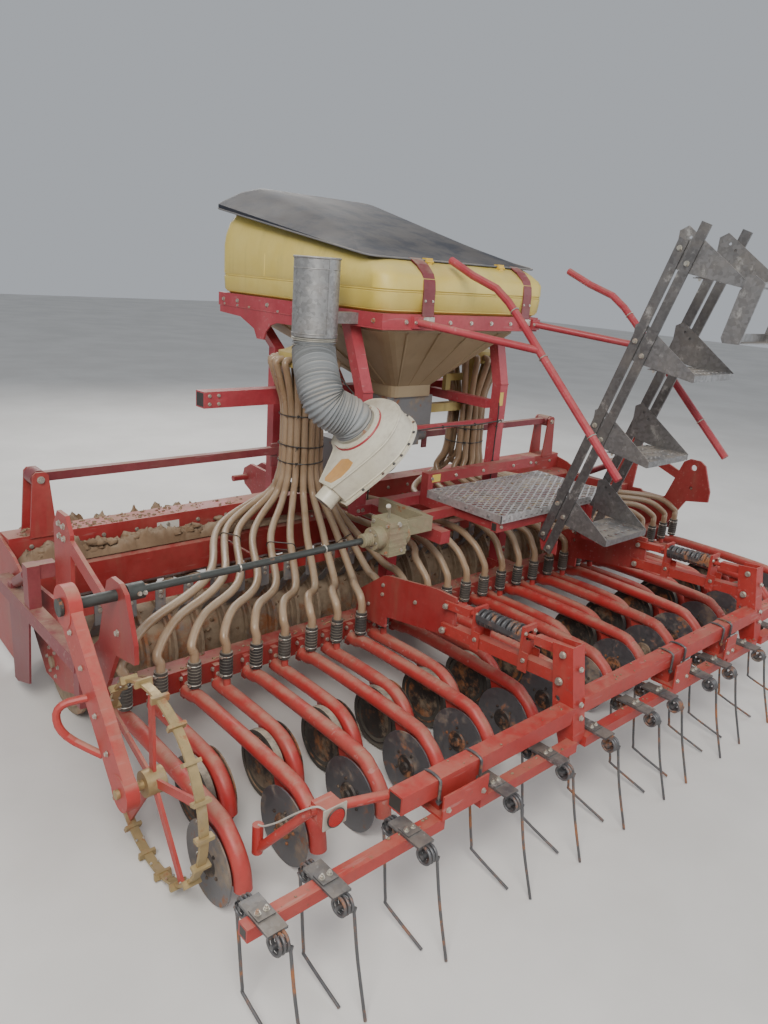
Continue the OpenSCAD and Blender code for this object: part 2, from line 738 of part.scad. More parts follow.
module fan_housing() {
    color(cream)
        translate(frame_shift) {
            translate(fan_at)
                rotate(fan_turn) {
                    translate([0, 0, -fan_depth])
                        linear_extrude(height = fan_depth)
                            polygon(fan_outline);
                    translate([0, 0, -fan_depth - 8])
                        linear_extrude(height = 9)
                            offset(delta = 14)
                                polygon(fan_outline);
                    translate([0, 0, -fan_depth - 60])
                        cylinder(d = 260, h = 60);
                    translate([0, 0, -1])
                        cylinder(d = 250, h = ring_h + 1);
                    translate([0, 0, -fan_depth - 130])
                        cylinder(d = 90, h = 80);
                    translate([298, 85, -55])
                        rotate([0, 90, 0])
                            cylinder(d = 96, h = 70);
                }
            bx(-600, -520, 220, main_y0 - seat, 1050, 1110);
        }
}

// Air intake duct with its bracket to the rail
module intake_duct() {
    color(zinc)
        translate(frame_shift) {
            difference() {
                translate([duct_at.x, duct_at.y, duct_low])
                    cylinder(d = duct_d, h = 340);
                translate([duct_at.x, duct_at.y, duct_low + 6])
                    cylinder(d = duct_d - 6, h = 340);
            }
            bx(duct_at.x + duct_d / 2 - 2, hopper_x - rail_half - seat, duct_at.y - 30, duct_at.y + 30,
                rail_low + 10, rail_low + 60);
        }
}

// Loading platform of perforated plate with folded edges
platform_x0 = -130;
platform_x1 = 800;
platform_y0 = -170;
platform_y1 = 340;
platform_top = 815;

module platform() {
    color(zinc)
        translate(frame_shift) {
            difference() {
                bx(platform_x0, platform_x1, platform_y0, platform_y1, platform_top - 4, platform_top);
                for (i = [0 : 11])
                    for (j = [0 : 5])
                        translate([platform_x0 + 48 + i * 76, platform_y0 + 48 + j * 83, platform_top - 5])
                            cylinder(d = 46, h = 6, $fn = 4);
            }
            bx(platform_x0, platform_x1, platform_y0, platform_y0 + 4, platform_top - 40, platform_top - 3);
            bx(platform_x0, platform_x1, platform_y1 - 4, platform_y1, platform_top - 40, platform_top - 3);
            for (x = [platform_x0, platform_x1 - 4])
                bx(x, x + 4, platform_y0, platform_y1, platform_top - 40, platform_top - 3);
        }
}

// Carrier of the loading platform
module platform_frame() {
    color(red)
        translate(frame_shift) {
            for (y = [-150, 150])
                bx(platform_x0, platform_x1, y, y + 40, 725, platform_top - 40 - seat);
            for (x = [platform_x0 + 20, ladder_x1 + 40])
                bx(x, x + 40, -150, post_y0 - seat, 725, platform_top - 40 - seat);
            for (x = [post_left - 25, post_right - 25])
                bx(x, x + 50, 150, post_y0 - seat, 720, 770);
            bx(post_left - 25, platform_x0 + 1, 150, 190, 725, 770);
            bx(platform_x0, platform_x1 - 40, platform_y1 + seat, platform_y1 + 50, 845, 900);
            bx(platform_x0, platform_x0 + 40, 150, platform_y1 + 50, 725, platform_top - 40 - seat);
            bx(platform_x0, platform_x0 + 40, platform_y1 + seat, platform_y1 + 50, 726, 846);
            bx(main_right - 20, main_right + 20, platform_y1 + 49, main_y0 - seat, 850, 895);
            bx(-420, -360, -60, 150, 690, 750);
            bx(-420, -360, 100, post_y0 - seat, 690, 725);
        }
}

// Red bent handrails beside the ladder
hand_path = [[310, 1962], [160, 1900], [10, 1852], [-70, 1798], [-150, 1725], [-450, 1435], [-757, 1140]];

module handrails() {
    color(red)
        translate(frame_shift) {
            for (x = [-140, 800])
                sweep([for (q = hand_path) [x, q.x, q.y]], 18, 10);
            for (q = [[-379, -140], [490, 800]]) {
                rod([q[0], rail_y0 - 12, rail_low + 36], [q[1], -270, 1609], 34);
                bx(q[0] - 30, q[0] + 30, rail_y0 - 20, rail_y0 - seat, rail_low + 8, rail_low + 62);
            }
        }
}

// Metering drive: gearbox, long shaft and its joint
drive_at = [-55, 793];

module gear_drive() {
    color(steel)
        translate(frame_shift) {
            xcyl(arm_x0 - 14, arm_x0 - 2, drive_at.x, drive_at.y, 60, 32);
            xcyl(arm_x0 - 3, -side_in + 2, drive_at.x, drive_at.y, arm_bore - 2 * axle_gap);
            xcyl(-side_in + 1, -750, drive_at.x, drive_at.y, 28);
            xcyl(-side_in + 20, -side_in + 80, drive_at.x, drive_at.y, 60, 24);
            bx(-800, -700, drive_at.x - 62, drive_at.x + 62, drive_at.y - 75, drive_at.y + 80);
            xcyl(-850, -800, drive_at.x, drive_at.y, 100, 32);
            xcyl(-700, -670, drive_at.x, drive_at.y, 110, 32);
            bx(-690, post_left - post_w / 2 - seat, drive_at.x + 20, drive_at.x + 50, 760, 830);
            bx(post_left - post_w / 2 - 30, post_left - post_w / 2 - seat, drive_at.x + 20, post_y1, 760,
                830);
        }
}

// Ladder geometry in the plane across X
ladder_pivot = [-200, 600];
ladder_dir = [-sin(ladder_lean), cos(ladder_lean)];
link_offset = [44, 61];
step_at = [190, 640, 1070, 1490];
function ladder_point(d) = ladder_pivot + d * ladder_dir;

module ladder_bar(x0, x1, from, len, w) {
    a = from;
    b = from + len * ladder_dir;
    flat_bar(x0, x1, a.x, a.y, b.x, b.y, w);
}

module ladder_pin_holes(x0, x1, offset, d, stations) {
    for (t = stations)
        let (q = ladder_point(t) + offset)
            xcyl(x0, x1, q.x, q.y, d, 24);
}

// Rear bars of the ladder
module ladder_bars() {
    color(zinc)
        translate(frame_shift)
            difference() {
                for (x = [ladder_x0, ladder_x1 - 10])
                    ladder_bar(x, x + 10, ladder_pivot - 30 * ladder_dir, ladder_len, 46);
                ladder_pin_holes(ladder_x0 - 1, ladder_x1 + 1, [0, 0], 16, concat([0], step_at));
            }
}

// Front bars of the ladder, parallel to the rear ones
module ladder_links() {
    color(zinc)
        translate(frame_shift)
            difference() {
                for (x = [ladder_x0, ladder_x1 - 10])
                    ladder_bar(x, x + 10, ladder_pivot + link_offset - 30 * ladder_dir, ladder_len - 130,
                        46);
                ladder_pin_holes(ladder_x0 - 1, ladder_x1 + 1, link_offset, 16, concat([0], step_at));
            }
}

// One level step held between the two pairs of bars
module ladder_step(i) {
    q = ladder_point(step_at[i]);
    r = q + link_offset;
    for (x = [ladder_x0 + 10 + seat, ladder_x1 - 10 - seat - 5])
        difference() {
            plate(x, x + 5,
                [[q.x - 12, q.y - 40], [q.x - 250, q.y - 82], [q.x - 256, q.y - 76],
                    [q.x - 256, q.y - 50], [r.x - 20, r.y + 90],
                 [r.x + 18, r.y + 70], [r.x + 22, q.y - 20]]);
            for (h = [[-36, 84], [-64, 56]])
                xcyl(x - 1, x + 6, r.x + h[0], r.y + h[1] - 40, 13, 16);
        }
    difference() {
        bx(ladder_x0 + 15 + seat - eps, ladder_x1 - 15 - seat + eps, q.x - 256, q.x - 30, q.y - 56,
            q.y - 52);
        for (a = [0 : 5])
            for (b = [0 : 2])
                translate([ladder_x0 + 50 + a * 56, q.x - 215 + b * 66, q.y - 57])
                    cylinder(d = 36, h = 6, $fn = 4);
    }
    bx(ladder_x0 + 15 + seat - eps, ladder_x1 - 15 - seat + eps, q.x - 256, q.x - 252, q.y - 80, q.y - 53);
    for (x = [ladder_x0 - 3, ladder_x1 - 10 - seat - 5])
        for (c = [q, r])
            xcyl(x, x + 18 + seat, c.x, c.y, 16 - 2 * axle_gap, 24);
}

module ladder_step_1() {
    color(zinc)
        translate(frame_shift)
            ladder_step(0);
}

module ladder_step_2() {
    color(zinc)
        translate(frame_shift)
            ladder_step(1);
}

module ladder_step_3() {
    color(zinc)
        translate(frame_shift)
            ladder_step(2);
}

module ladder_step_4() {
    color(zinc)
        translate(frame_shift)
            ladder_step(3);
}

// Folded lowest step that hangs from the fourth one
module ladder_tail() {
    q = ladder_point(step_at[3]);
    color(zinc)
        translate(frame_shift) {
            for (x = [ladder_x0 - 12, ladder_x1 + 4])
                plate(x, x + 8,
                    [[q.x - 262, q.y - 75], [q.x - 262, q.y - 40], [q.x - 300, q.y - 30],
                        [q.x - 345, q.y - 60], [q.x - 290, q.y - 300],
                     [q.x - 220, q.y - 300], [q.x - 210, q.y - 280], [q.x - 250, q.y - 90]]);
            bx(ladder_x0 - 5, ladder_x1 + 5, q.x - 290, q.x - 220, q.y - 300, q.y - 295);
            bx(ladder_x0 - 5, ladder_x1 + 5, q.x - 224, q.x - 220, q.y - 296, q.y - 262);
            for (x = [ladder_x0 - 12, ladder_x1 - 10])
                bx(x, x + 22, q.x - 266, q.x - 256 - seat, q.y - 72, q.y - 52);
            bx(ladder_x0 + 9, ladder_x1 - 9, q.x - 264, q.x - 256 - seat, q.y - 72, q.y - 58);
        }
}

// Bracket on the platform that carries the ladder
module ladder_bracket() {
    color(red)
        translate(frame_shift)
            for (x = [ladder_x0 + 10 + seat, ladder_x1 - 10 - seat - 8]) {
                plate(x, x + 8,
                    [[-240, 570], [-240, 640], [-190, 700], [-190, 765], [-150 - seat, 765],
                        [-150 - seat, 725 - seat],
                     [-128, 725 - seat], [-128, 640], [-150, 570]]);
                for (c = [ladder_pivot, ladder_pivot + link_offset])
                    xcyl(x == ladder_x0 + 10 + seat ? x - 13 : x,
                        x == ladder_x0 + 10 + seat ? x + 8 : x + 21, c.x, c.y, 16 - 2 * axle_gap, 24);
            }
}

// Pins of the following harrow's links
lower_front = [-440, 500];
lower_rear = [-1025, 540];
upper_front = [-440, 605];
upper_rear = [-1025, 645];
lower_pin_d = 20;
upper_pin_d = 16;
lower_slope = (lower_rear.y - lower_front.y) / (lower_rear.x - lower_front.x);
function lower_at(y) = lower_front.y + lower_slope * (y - lower_front.x);
function upper_at(y) = upper_front.y + lower_slope * (y - upper_front.x);
hanger_at = [-600, -840];

// Lower links with two hangers and the spring held between them
module harrow_links_lower() {
    color(red)
        translate(frame_shift)
            for (s = [-1, 1])
                translate([s * link_x, 0, 0]) {
                    difference() {
                        flat_bar(-24, 24, lower_front.x + 22, lower_at(lower_front.x + 22),
                            lower_rear.x - 20, lower_at(lower_rear.x - 20), 46);
                        bx(-8, 8, lower_front.x - 48, lower_front.x + 80, 400, 600);
                        xcyl(-40, 40, lower_front.x, lower_front.y, lower_pin_d);
                        xcyl(-40, 40, lower_rear.x, lower_rear.y, lower_pin_d);
                    }
                    for (y = hanger_at) {
                        difference() {
                            bx(-38, 38, y - 6, y + 6, lower_at(y) - 26, upper_at(y) + 44);
                            translate([0, y + 7, upper_at(y)])
                                rotate([90, 0, 0])
                                    cylinder(d = 42, h = 14);
                        }
                        for (x = [-38, 32])
                            bx(x, x + 6, y - 34, y + 1, lower_at(y) - 26, lower_at(y) + 52);
                    }
                    for (i = [0 : 8]) {
                        y = hanger_at[1] + 14 + i * (hanger_at[0] - hanger_at[1] - 28) / 8;
                        translate([0, y + 5, upper_at(y)])
                            rotate([90, 0, 0])
                                difference() {
                                    cylinder(d = 70, h = 10);
                                    translate([0, 0, -1])
                                        cylinder(d = 50, h = 12);
                                }
                    }
                    for (x = [-36, 30])
                        bx(x, x + 6, hanger_at[1] + 5, hanger_at[0] - 5, upper_at(-720) - 10,
                            upper_at(-720) + 10);
                }
}

// Upper links: a flat bar, a rod through the spring and a rear bar
module harrow_links_upper() {
    color(red)
        translate(frame_shift)
            for (s = [-1, 1])
                translate([s * link_x, 0, 0])
                    difference() {
                        union() {
                            flat_bar(-18, 18, upper_front.x + 18, upper_at(upper_front.x + 18), -560,
                                upper_at(-560), 34);
                            flat_bar(-18, 18, -880, upper_at(-880), upper_rear.x - 18,
                                upper_at(upper_rear.x - 18), 34);
                            rod([0, -540, upper_at(-540)], [0, -900, upper_at(-900)], 20);
                        }
                        bx(-8, 8, upper_front.x - 40, upper_front.x + 60, 500, 700);
                        xcyl(-40, 40, upper_front.x, upper_front.y, upper_pin_d);
                        xcyl(-40, 40, upper_rear.x, upper_rear.y, upper_pin_d);
                    }
}

// Following harrow: folded posts, upper tubes, tine bars and their connectors
post_in = 27;
post_out = 35;
rack_y0 = -harrow_back - rack_tube / 2;
rack_y1 = -harrow_back + rack_tube / 2;
rack_z = [402, 424, 402];
tine_bar = 40;
tine_bar_y = -harrow_back - 60;
tine_bar_z = 300;
bar_joint = [-1450, -1250];
bar_split = [380, 400];
post_outline = [[-972, 672], [-1058, 682], [-1118, 330], [-1105, 296], [-1060, 296], [-1012, 420]];

module rack_post(x) {
    difference() {
        plate(x - post_out, x + post_out, post_outline);
        plate(x - post_in, x + post_in, [for (q = post_outline) [q.x + 10, q.y]]);
        plate(x - post_in, x + post_in, [[-960, 700], [-1049, 700], [-1108, 340], [-1098, 290],
            [-950, 290]]);
        xcyl(x - 40, x + 40, lower_rear.x, lower_rear.y - 70, 22, 16);
    }
    xcyl(x - post_out - 5, x + post_out + 5, lower_rear.x, lower_rear.y, lower_pin_d - 2 * axle_gap);
    xcyl(x - post_out - 5, x + post_out + 5, upper_rear.x, upper_rear.y, upper_pin_d - 2 * axle_gap);
}

module rack_connector(x, w, tube_z) {
    bx(x - w / 2, x + w / 2, tine_bar_y - 6, rack_y1 + 6, tine_bar_z + tine_bar - 1,
        tine_bar_z + tine_bar + 8);
    for (y = [tine_bar_y - 6, rack_y1])
        bx(x - w / 2, x + w / 2, y, y + 6, tine_bar_z + tine_bar + 7, tube_z + 22);
    bx(x - w / 2 + 20, x + w / 2 - 20, rack_y0, rack_y1, tine_bar_z + tine_bar + 7, tube_z + 1);
}

module harrow_rack() {
    color(red)
        translate(frame_shift) {
            for (s = [-1, 1])
                rack_post(s * link_x);
            bx(-harrow_half * 0.75, -link_x - post_in, rack_y0, rack_y1, rack_z[0], rack_z[0] + rack_tube);
            bx(-link_x + post_in, link_x - post_in, rack_y0, rack_y1, rack_z[1], rack_z[1] + rack_tube);
            bx(link_x + post_in, harrow_half * 0.75, rack_y0, rack_y1, rack_z[2], rack_z[2] + rack_tube);
            for (r = [[-harrow_half, bar_joint[0] + 20], [bar_joint[1] - 20, -link_x - post_in],
                [-link_x + post_in, bar_split[0]],
                      [bar_split[1], link_x - post_in], [link_x + post_in, harrow_half]])
                bx(r[0], r[1], tine_bar_y, tine_bar_y + tine_bar, tine_bar_z, tine_bar_z + tine_bar);
            rack_connector((bar_joint[0] + bar_joint[1]) / 2, 200, rack_z[0]);
            rack_connector(-40, 120, rack_z[1]);
            rack_connector((bar_split[0] + bar_split[1]) / 2, 90, rack_z[1]);
            rack_connector(1380, 140, rack_z[2]);
            rod([-harrow_half * 0.72, rack_y1 - 12, 432], [-1810, -957, 432], 30, 16);
            rod([-1806, -958, 432], [-1861, -773, 200], 28, 16);
            rod([-1861, -773, 190], [-1861, -773, 290], 34, 16);
            bx(-1800, -1730, -1010, -945, 400, 455);
        }
}

// Spring tines: clamp positions, coils behind and ahead of the bar, straight and kinked tines
tine_x = [-2065, -1866, -1560, -1180, -905, -630, -345, -170, 120, 300, 590, 905, 1200, 1560, 1866, 2065];
front_coil = [tine_bar_y + tine_bar + 50, 318];
kink = [front_coil.x - 20, 62];
front_tip = [front_coil.x - 186, 14];
coil_d = 56;
coil_w = 46;

module tines() {
    color(zinc)
        translate(frame_shift)
            for (t = tine_x) {
                x = t * harrow_half / 2120;
                bx(x - 30, x + 30, tine_root.x + 10, front_coil.x - 8, tine_bar_z + tine_bar,
                    tine_bar_z + tine_bar + 8);
                for (c = [[tine_root.x + 2, 318], [front_coil.x, 318]]) {
                    xcyl(x - coil_w / 2, x + coil_w / 2, c[0], c[1], coil_d - 18, 20);
                    for (j = [0 : 3])
                        xcyl(x - coil_w / 2 + j * 12, x - coil_w / 2 + j * 12 + tine_d + 1, c[0], c[1],
                            coil_d, 20);
                }
                rod([x + 18, tine_root.x - 20, tine_root.y - 6], [x + 18, tine_tip.x, tine_tip.y], tine_d,
                    16);
                rod([x - 18, front_coil.x + 22, front_coil.y], [x - 18, kink.x, kink.y], tine_d, 16);
                rod([x - 18, kink.x, kink.y], [x - 18, front_tip.x, front_tip.y], tine_d, 16);
                translate([x - 18, kink.x, kink.y])
                    sphere(d = tine_d + 2);
            }
}

// Arm of the drive wheel with its guard bow
arm_x0 = wheel_x - 110;
arm_x1 = wheel_x - 68;
hub_at = [-460, wheel_d / 2];
arm_bore = 40;
hub_bore = 30;
guard_path = [
    [0, -226, 545], [-60, -206, 538], [-90, -200, 520], [-98, -206, 490], [-90, -224, 455],
        [-60, -250, 420], [0, -318, 385]];

module wheel_arm() {
    color(red)
        translate(frame_shift) {
            difference() {
                union() {
                    flat_bar(arm_x0 + 2, arm_x1 - 2, drive_at.x, drive_at.y, hub_at.x, hub_at.y, 116);
                    xcyl(arm_x0, arm_x1, drive_at.x, drive_at.y, 146);
                    xcyl(arm_x0, arm_x1, hub_at.x, hub_at.y, 118);
                }
                xcyl(arm_x0 - 2, arm_x1 + 2, hub_at.x, hub_at.y, hub_bore);
                xcyl(arm_x0 - 2, arm_x1 + 2, drive_at.x, drive_at.y, arm_bore);
            }
            sweep(spline([for (q = guard_path) [arm_x0 + 12 + q[0], q[1], q[2]]], 2), guard_d / 2, 10);
        }
}

// Drive wheel: thin rim with bent spokes and cleats
cleat_count = 18;
spoke_count = 5;
rim_t = 10;

module drive_wheel() {
    color(steel)
        translate(frame_shift) {
            difference() {
                xcyl(wheel_x - 14, wheel_x + 14, hub_at.x, hub_at.y, wheel_d - 24);
                xcyl(wheel_x - 15, wheel_x + 15, hub_at.x, hub_at.y, wheel_d - 24 - 2 * rim_t);
            }
            for (i = [0 : cleat_count - 1])
                translate([wheel_x, hub_at.x, hub_at.y])
                    rotate([(i + 0.5) * 360 / cleat_count, 0, 0])
                        translate([-28, -6, wheel_d / 2 - 26])
                            cube([56, 12, 24]);
            for (i = [0 : spoke_count - 1])
                translate([wheel_x, hub_at.x, hub_at.y])
                    rotate([i * 360 / spoke_count, 0, 0])
                        translate([-5, -14, 20])
                            cube([10, 28, wheel_d / 2 - 38]);
            xcyl(wheel_x - 34, wheel_x + 30, hub_at.x, hub_at.y, 84);
            xcyl(arm_x0 - 12, wheel_x, hub_at.x, hub_at.y, hub_bore - 2 * axle_gap);
        }
}

// Folded marker arm with its hinge block
marker_bar = 40;

module marker_arm(s) {
    difference() {
        union() {
            bx(min(s * 560, s * marker_x), max(s * 560, s * marker_x), marker_y - marker_bar / 2,
                marker_y + marker_bar / 2,
                marker_z - marker_bar / 2, marker_z + marker_bar / 2);
            translate([s * marker_x, marker_y - ear_gap + 6, marker_z])
                rotate([-90, 0, 0])
                    cylinder(d = 78, h = 2 * ear_gap - 12);
            translate([s * 580, marker_y - 6, marker_z])
                bx(-20, 20, 0, 12, -90, 40);
        }
        translate([s * marker_x, marker_y - ear_gap, marker_z])
            rotate([-90, 0, 0])
                cylinder(d = marker_pin_d, h = 2 * ear_gap);
    }
}

module marker_arm_left() {
    color(dark_red)
        translate(frame_shift) {
            marker_arm(-1);
        }
}

module marker_arm_right() {
    color(dark_red)
        translate(frame_shift) {
            marker_arm(1);
        }
}

// Corrugated air hose from the duct to the fan, and the small one below its outlet
fan_hose_r = 98;
small_hose_r = 38;

module fan_hose() {
    start = [duct_at.x, duct_at.y, duct_low - seat];
    end = fan_axis(ring_h + seat);
    mid = spline([
        start - [0, 0, 25], [-813, 464, 1530], [-832, 428, 1480], [-856, 372, 1425], [-866, 330, 1365],
        [-846, 298, 1305], fan_axis(ring_h + 62), fan_axis(ring_h + 30)], 2);
    color(zinc)
        translate(frame_shift)
            sweep(concat([start], mid, [end]), fan_hose_r, 14);
}

// Route of the hose to row i, from its distribution head to its boot
function side_of(i) = i <= mid_row ? -1 : 1;
function hose_rank(i) = i <= mid_row ? i - 1 : row_count - i;
function hose_total(i) = i <= mid_row ? mid_row : mid_row - 1;
function evenly(i) = (90 + (hose_rank(i) + (i <= mid_row ? 0.75 : 1)) * 360 / hose_total(i)) % 360;
function hose_angle(i) = 180 + (evenly(i) - 180) * 160 / 180;
function ring_point(i, r, z) = [side_of(i) * (head_x - r * cos(hose_angle(i))),
    head_y + r * sin(hose_angle(i)), z];
function pushed(x, post) = abs(x - post) < 95 ? post + 95 * (x < post ? -1 : 1) : x;
function cleared(x) = pushed(pushed(x, post_left), post_right);
function inner(i) = hose_rank(i) > 10;
function hose_low(i) = let (f = sin(hose_angle(i)), x = row_x(i), g = ring_point(i, 153, 744)) [
    ring_point(i, head_r + 40, head_z - 14),
    ring_point(i, head_r + 6, head_z - 110),
    ring_point(i, bundle_r, head_z - 250),
    ring_point(i, bundle_r, 960),
    ring_point(i, 112, 840),
    g,
    [g.x + (inner(i) ? 0.8 : 0.32) * (x - g.x), 620 + 200 * f, 646],
    [cleared(g.x + (inner(i) ? 0.96 : 0.61) * (x - g.x)), 242 + 42 * f, 570 + 63 * f],
    [g.x + (inner(i) ? 0.98 : 0.89) * (x - g.x), 96, 550 + 33 * f],
    [x, 18, 496],
    [x, 0, 456]];
function hose_route(i) = concat(
    [ring_point(i, head_r + seat, head_z), ring_point(i, head_r + 22, head_z)],
    spline(hose_low(i), 2),
    [[row_x(i), 0, boot_z + boot_len + seat]]);

module hoses_left() {
    color(tan)
        translate(frame_shift)
            for (i = [1 : mid_row])
                sweep(hose_route(i), hose_d / 2, 8);
}

module hoses_right() {
    color(tan)
        translate(frame_shift)
            for (i = [mid_row + 1 : row_count])
                sweep(hose_route(i), hose_d / 2, 8);
}

harrow_trough();
rotor_tines();
headstock();
gearbox();
packer_roller();
packer_frame();
end_frames();
coulter_bar();
arms_long();
arms_short();
boots();
discs_rear();
discs_front();
wheels_front();
hopper_frame();
tank();
tank_funnel();
lid();
metering_unit();
distributors();
fan_housing();
intake_duct();
platform();
platform_frame();
handrails();
gear_drive();
ladder_bracket();
ladder_bars();
ladder_links();
ladder_step_1();
ladder_step_2();
ladder_step_3();
ladder_step_4();
ladder_tail();
harrow_links_lower();
harrow_links_upper();
harrow_rack();
tines();
wheel_arm();
drive_wheel();
marker_arm_left();
marker_arm_right();
fan_hose();
hoses_left();
hoses_right();
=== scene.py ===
import random
from itertools import product
from math import atan2, ceil, cos, floor, hypot, pi, radians, sin, sqrt
import bpy
from mathutils import Matrix, Vector, noise


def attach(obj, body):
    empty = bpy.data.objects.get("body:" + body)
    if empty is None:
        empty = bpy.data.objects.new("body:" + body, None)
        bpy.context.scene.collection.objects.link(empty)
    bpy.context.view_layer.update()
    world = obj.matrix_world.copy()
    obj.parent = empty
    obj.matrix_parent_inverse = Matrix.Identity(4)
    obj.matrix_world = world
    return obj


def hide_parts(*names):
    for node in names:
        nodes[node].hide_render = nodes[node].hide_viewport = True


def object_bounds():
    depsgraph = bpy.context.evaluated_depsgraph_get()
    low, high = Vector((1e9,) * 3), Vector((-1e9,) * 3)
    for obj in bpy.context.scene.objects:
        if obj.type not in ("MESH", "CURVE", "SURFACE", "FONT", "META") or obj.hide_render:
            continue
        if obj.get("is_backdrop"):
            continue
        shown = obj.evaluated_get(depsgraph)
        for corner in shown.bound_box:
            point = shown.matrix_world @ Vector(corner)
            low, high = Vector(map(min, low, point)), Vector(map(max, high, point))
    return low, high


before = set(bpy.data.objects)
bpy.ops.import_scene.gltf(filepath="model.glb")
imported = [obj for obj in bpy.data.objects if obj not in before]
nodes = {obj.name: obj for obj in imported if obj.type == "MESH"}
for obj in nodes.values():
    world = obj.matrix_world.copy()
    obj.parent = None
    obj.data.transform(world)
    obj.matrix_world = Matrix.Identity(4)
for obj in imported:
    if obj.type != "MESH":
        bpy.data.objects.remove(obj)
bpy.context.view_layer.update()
rng = random.Random(41)

# shift of the CAD source, in millimetres; positions below are in its own millimetres, thicknesses in metres
SHIFT = (77.5, -239.612192)
X, Y, Z = Vector((1, 0, 0)), Vector((0, 1, 0)), Vector((0, 0, 1))
SIDES = (-1, 1)


def V(*c):
    return Vector(c)


def P(x, y, z):
    return Vector(((x + SHIFT[0]) / 1000, (y + SHIFT[1]) / 1000, z / 1000))


def placed(points):
    return [P(*p) for p in points]


def circle(n, r, start=0.0):
    return [(r * cos(2 * pi * k / n + start), r * sin(2 * pi * k / n + start)) for k in range(n)]


# materials
class Look:
    """Small builder for a node material."""

    def __init__(self, name, seed=0.0):
        self.seed = seed
        self.m = bpy.data.materials.new(name)
        self.m.use_nodes = True
        self.t = self.m.node_tree
        self.b = self.t.nodes["Principled BSDF"]
        self.co = self.t.nodes.new("ShaderNodeTexCoord").outputs["Object"]

    def feed(self, sock, v):
        """Links a socket, or sets its value."""
        if hasattr(v, "links"):
            self.t.links.new(v, sock)
        else:
            sock.default_value = (*v, 1) if sock.type == "RGBA" else v

    def node(self, kind, **inputs):
        n = self.t.nodes.new("ShaderNode" + kind)
        for key, v in inputs.items():
            self.feed(n.inputs[key.replace("_", " ")], v)
        return n

    def mapped(self, scale, at):
        return self.node("Mapping", Vector=self.co, Scale=scale, Location=at).outputs[0]

    def noise(self, scale, detail=4.0, rough=0.55, off=None, stretch=(1, 1, 1), distort=0.0):
        """Noise; off keeps it apart from the material's other noises."""
        at = self.seed + (off or 0)
        co = self.co if off is None else self.mapped(stretch, (at, at * 1.7, -at))
        n = self.node("TexNoise", Vector=co, Scale=scale, Detail=detail, Roughness=rough, Distortion=distort)
        return n.outputs["Fac"]

    def voronoi(self, scale, seed, out="Distance"):
        co = self.mapped((1, 1, 1), (seed, -seed, seed * 2))
        return self.node("TexVoronoi", Vector=co, Scale=scale).outputs[out]

    def step(self, value, low, high, out_low=0.0, out_high=1.0):
        n = self.node("MapRange", Value=value, From_Min=low, From_Max=high, To_Min=out_low, To_Max=out_high)
        n.interpolation_type = "SMOOTHSTEP"
        return n.outputs[0]

    def math(self, op, a, b):
        n = self.node("Math")
        n.operation = op
        self.feed(n.inputs[0], a)
        self.feed(n.inputs[1], b)
        return n.outputs[0]

    def mul(self, a, b):
        return self.math("MULTIPLY", a, b)

    def add(self, a, b):
        return self.math("ADD", a, b)

    def top(self, a, b):
        return self.math("MAXIMUM", a, b)

    def mix(self, fac, a, b):
        n = self.node("Mix")
        n.data_type = "RGBA"
        for i, v in ((0, fac), (6, a), (7, b)):
            self.feed(n.inputs[i], v)
        return n.outputs[2]

    def up(self):
        normal = self.node("NewGeometry").outputs["Normal"]
        return self.node("SeparateXYZ", Vector=normal).outputs[2]

    def height(self):
        return self.node("SeparateXYZ", Vector=self.co).outputs[2]

    def bump(self, value, strength, dist, before=None):
        n = self.node("Bump", Height=value, Strength=strength, Distance=dist)
        if before is not None:
            self.feed(n.inputs["Normal"], before)
        return n.outputs[0]

    def put(self, color, rough, metal, normal, **extra):
        values = {"Base Color": color, "Roughness": rough, "Metallic": metal, "Normal": normal, **extra}
        for key, v in values.items():
            self.feed(self.b.inputs[key.replace("_", " ")], v)
        return self.m


DUST, SOIL, RUST = (0.42, 0.33, 0.23), (0.16, 0.105, 0.065), (0.22, 0.075, 0.03)


def shade(colour, share, plus=0.0):
    return tuple(c * share + plus for c in colour)


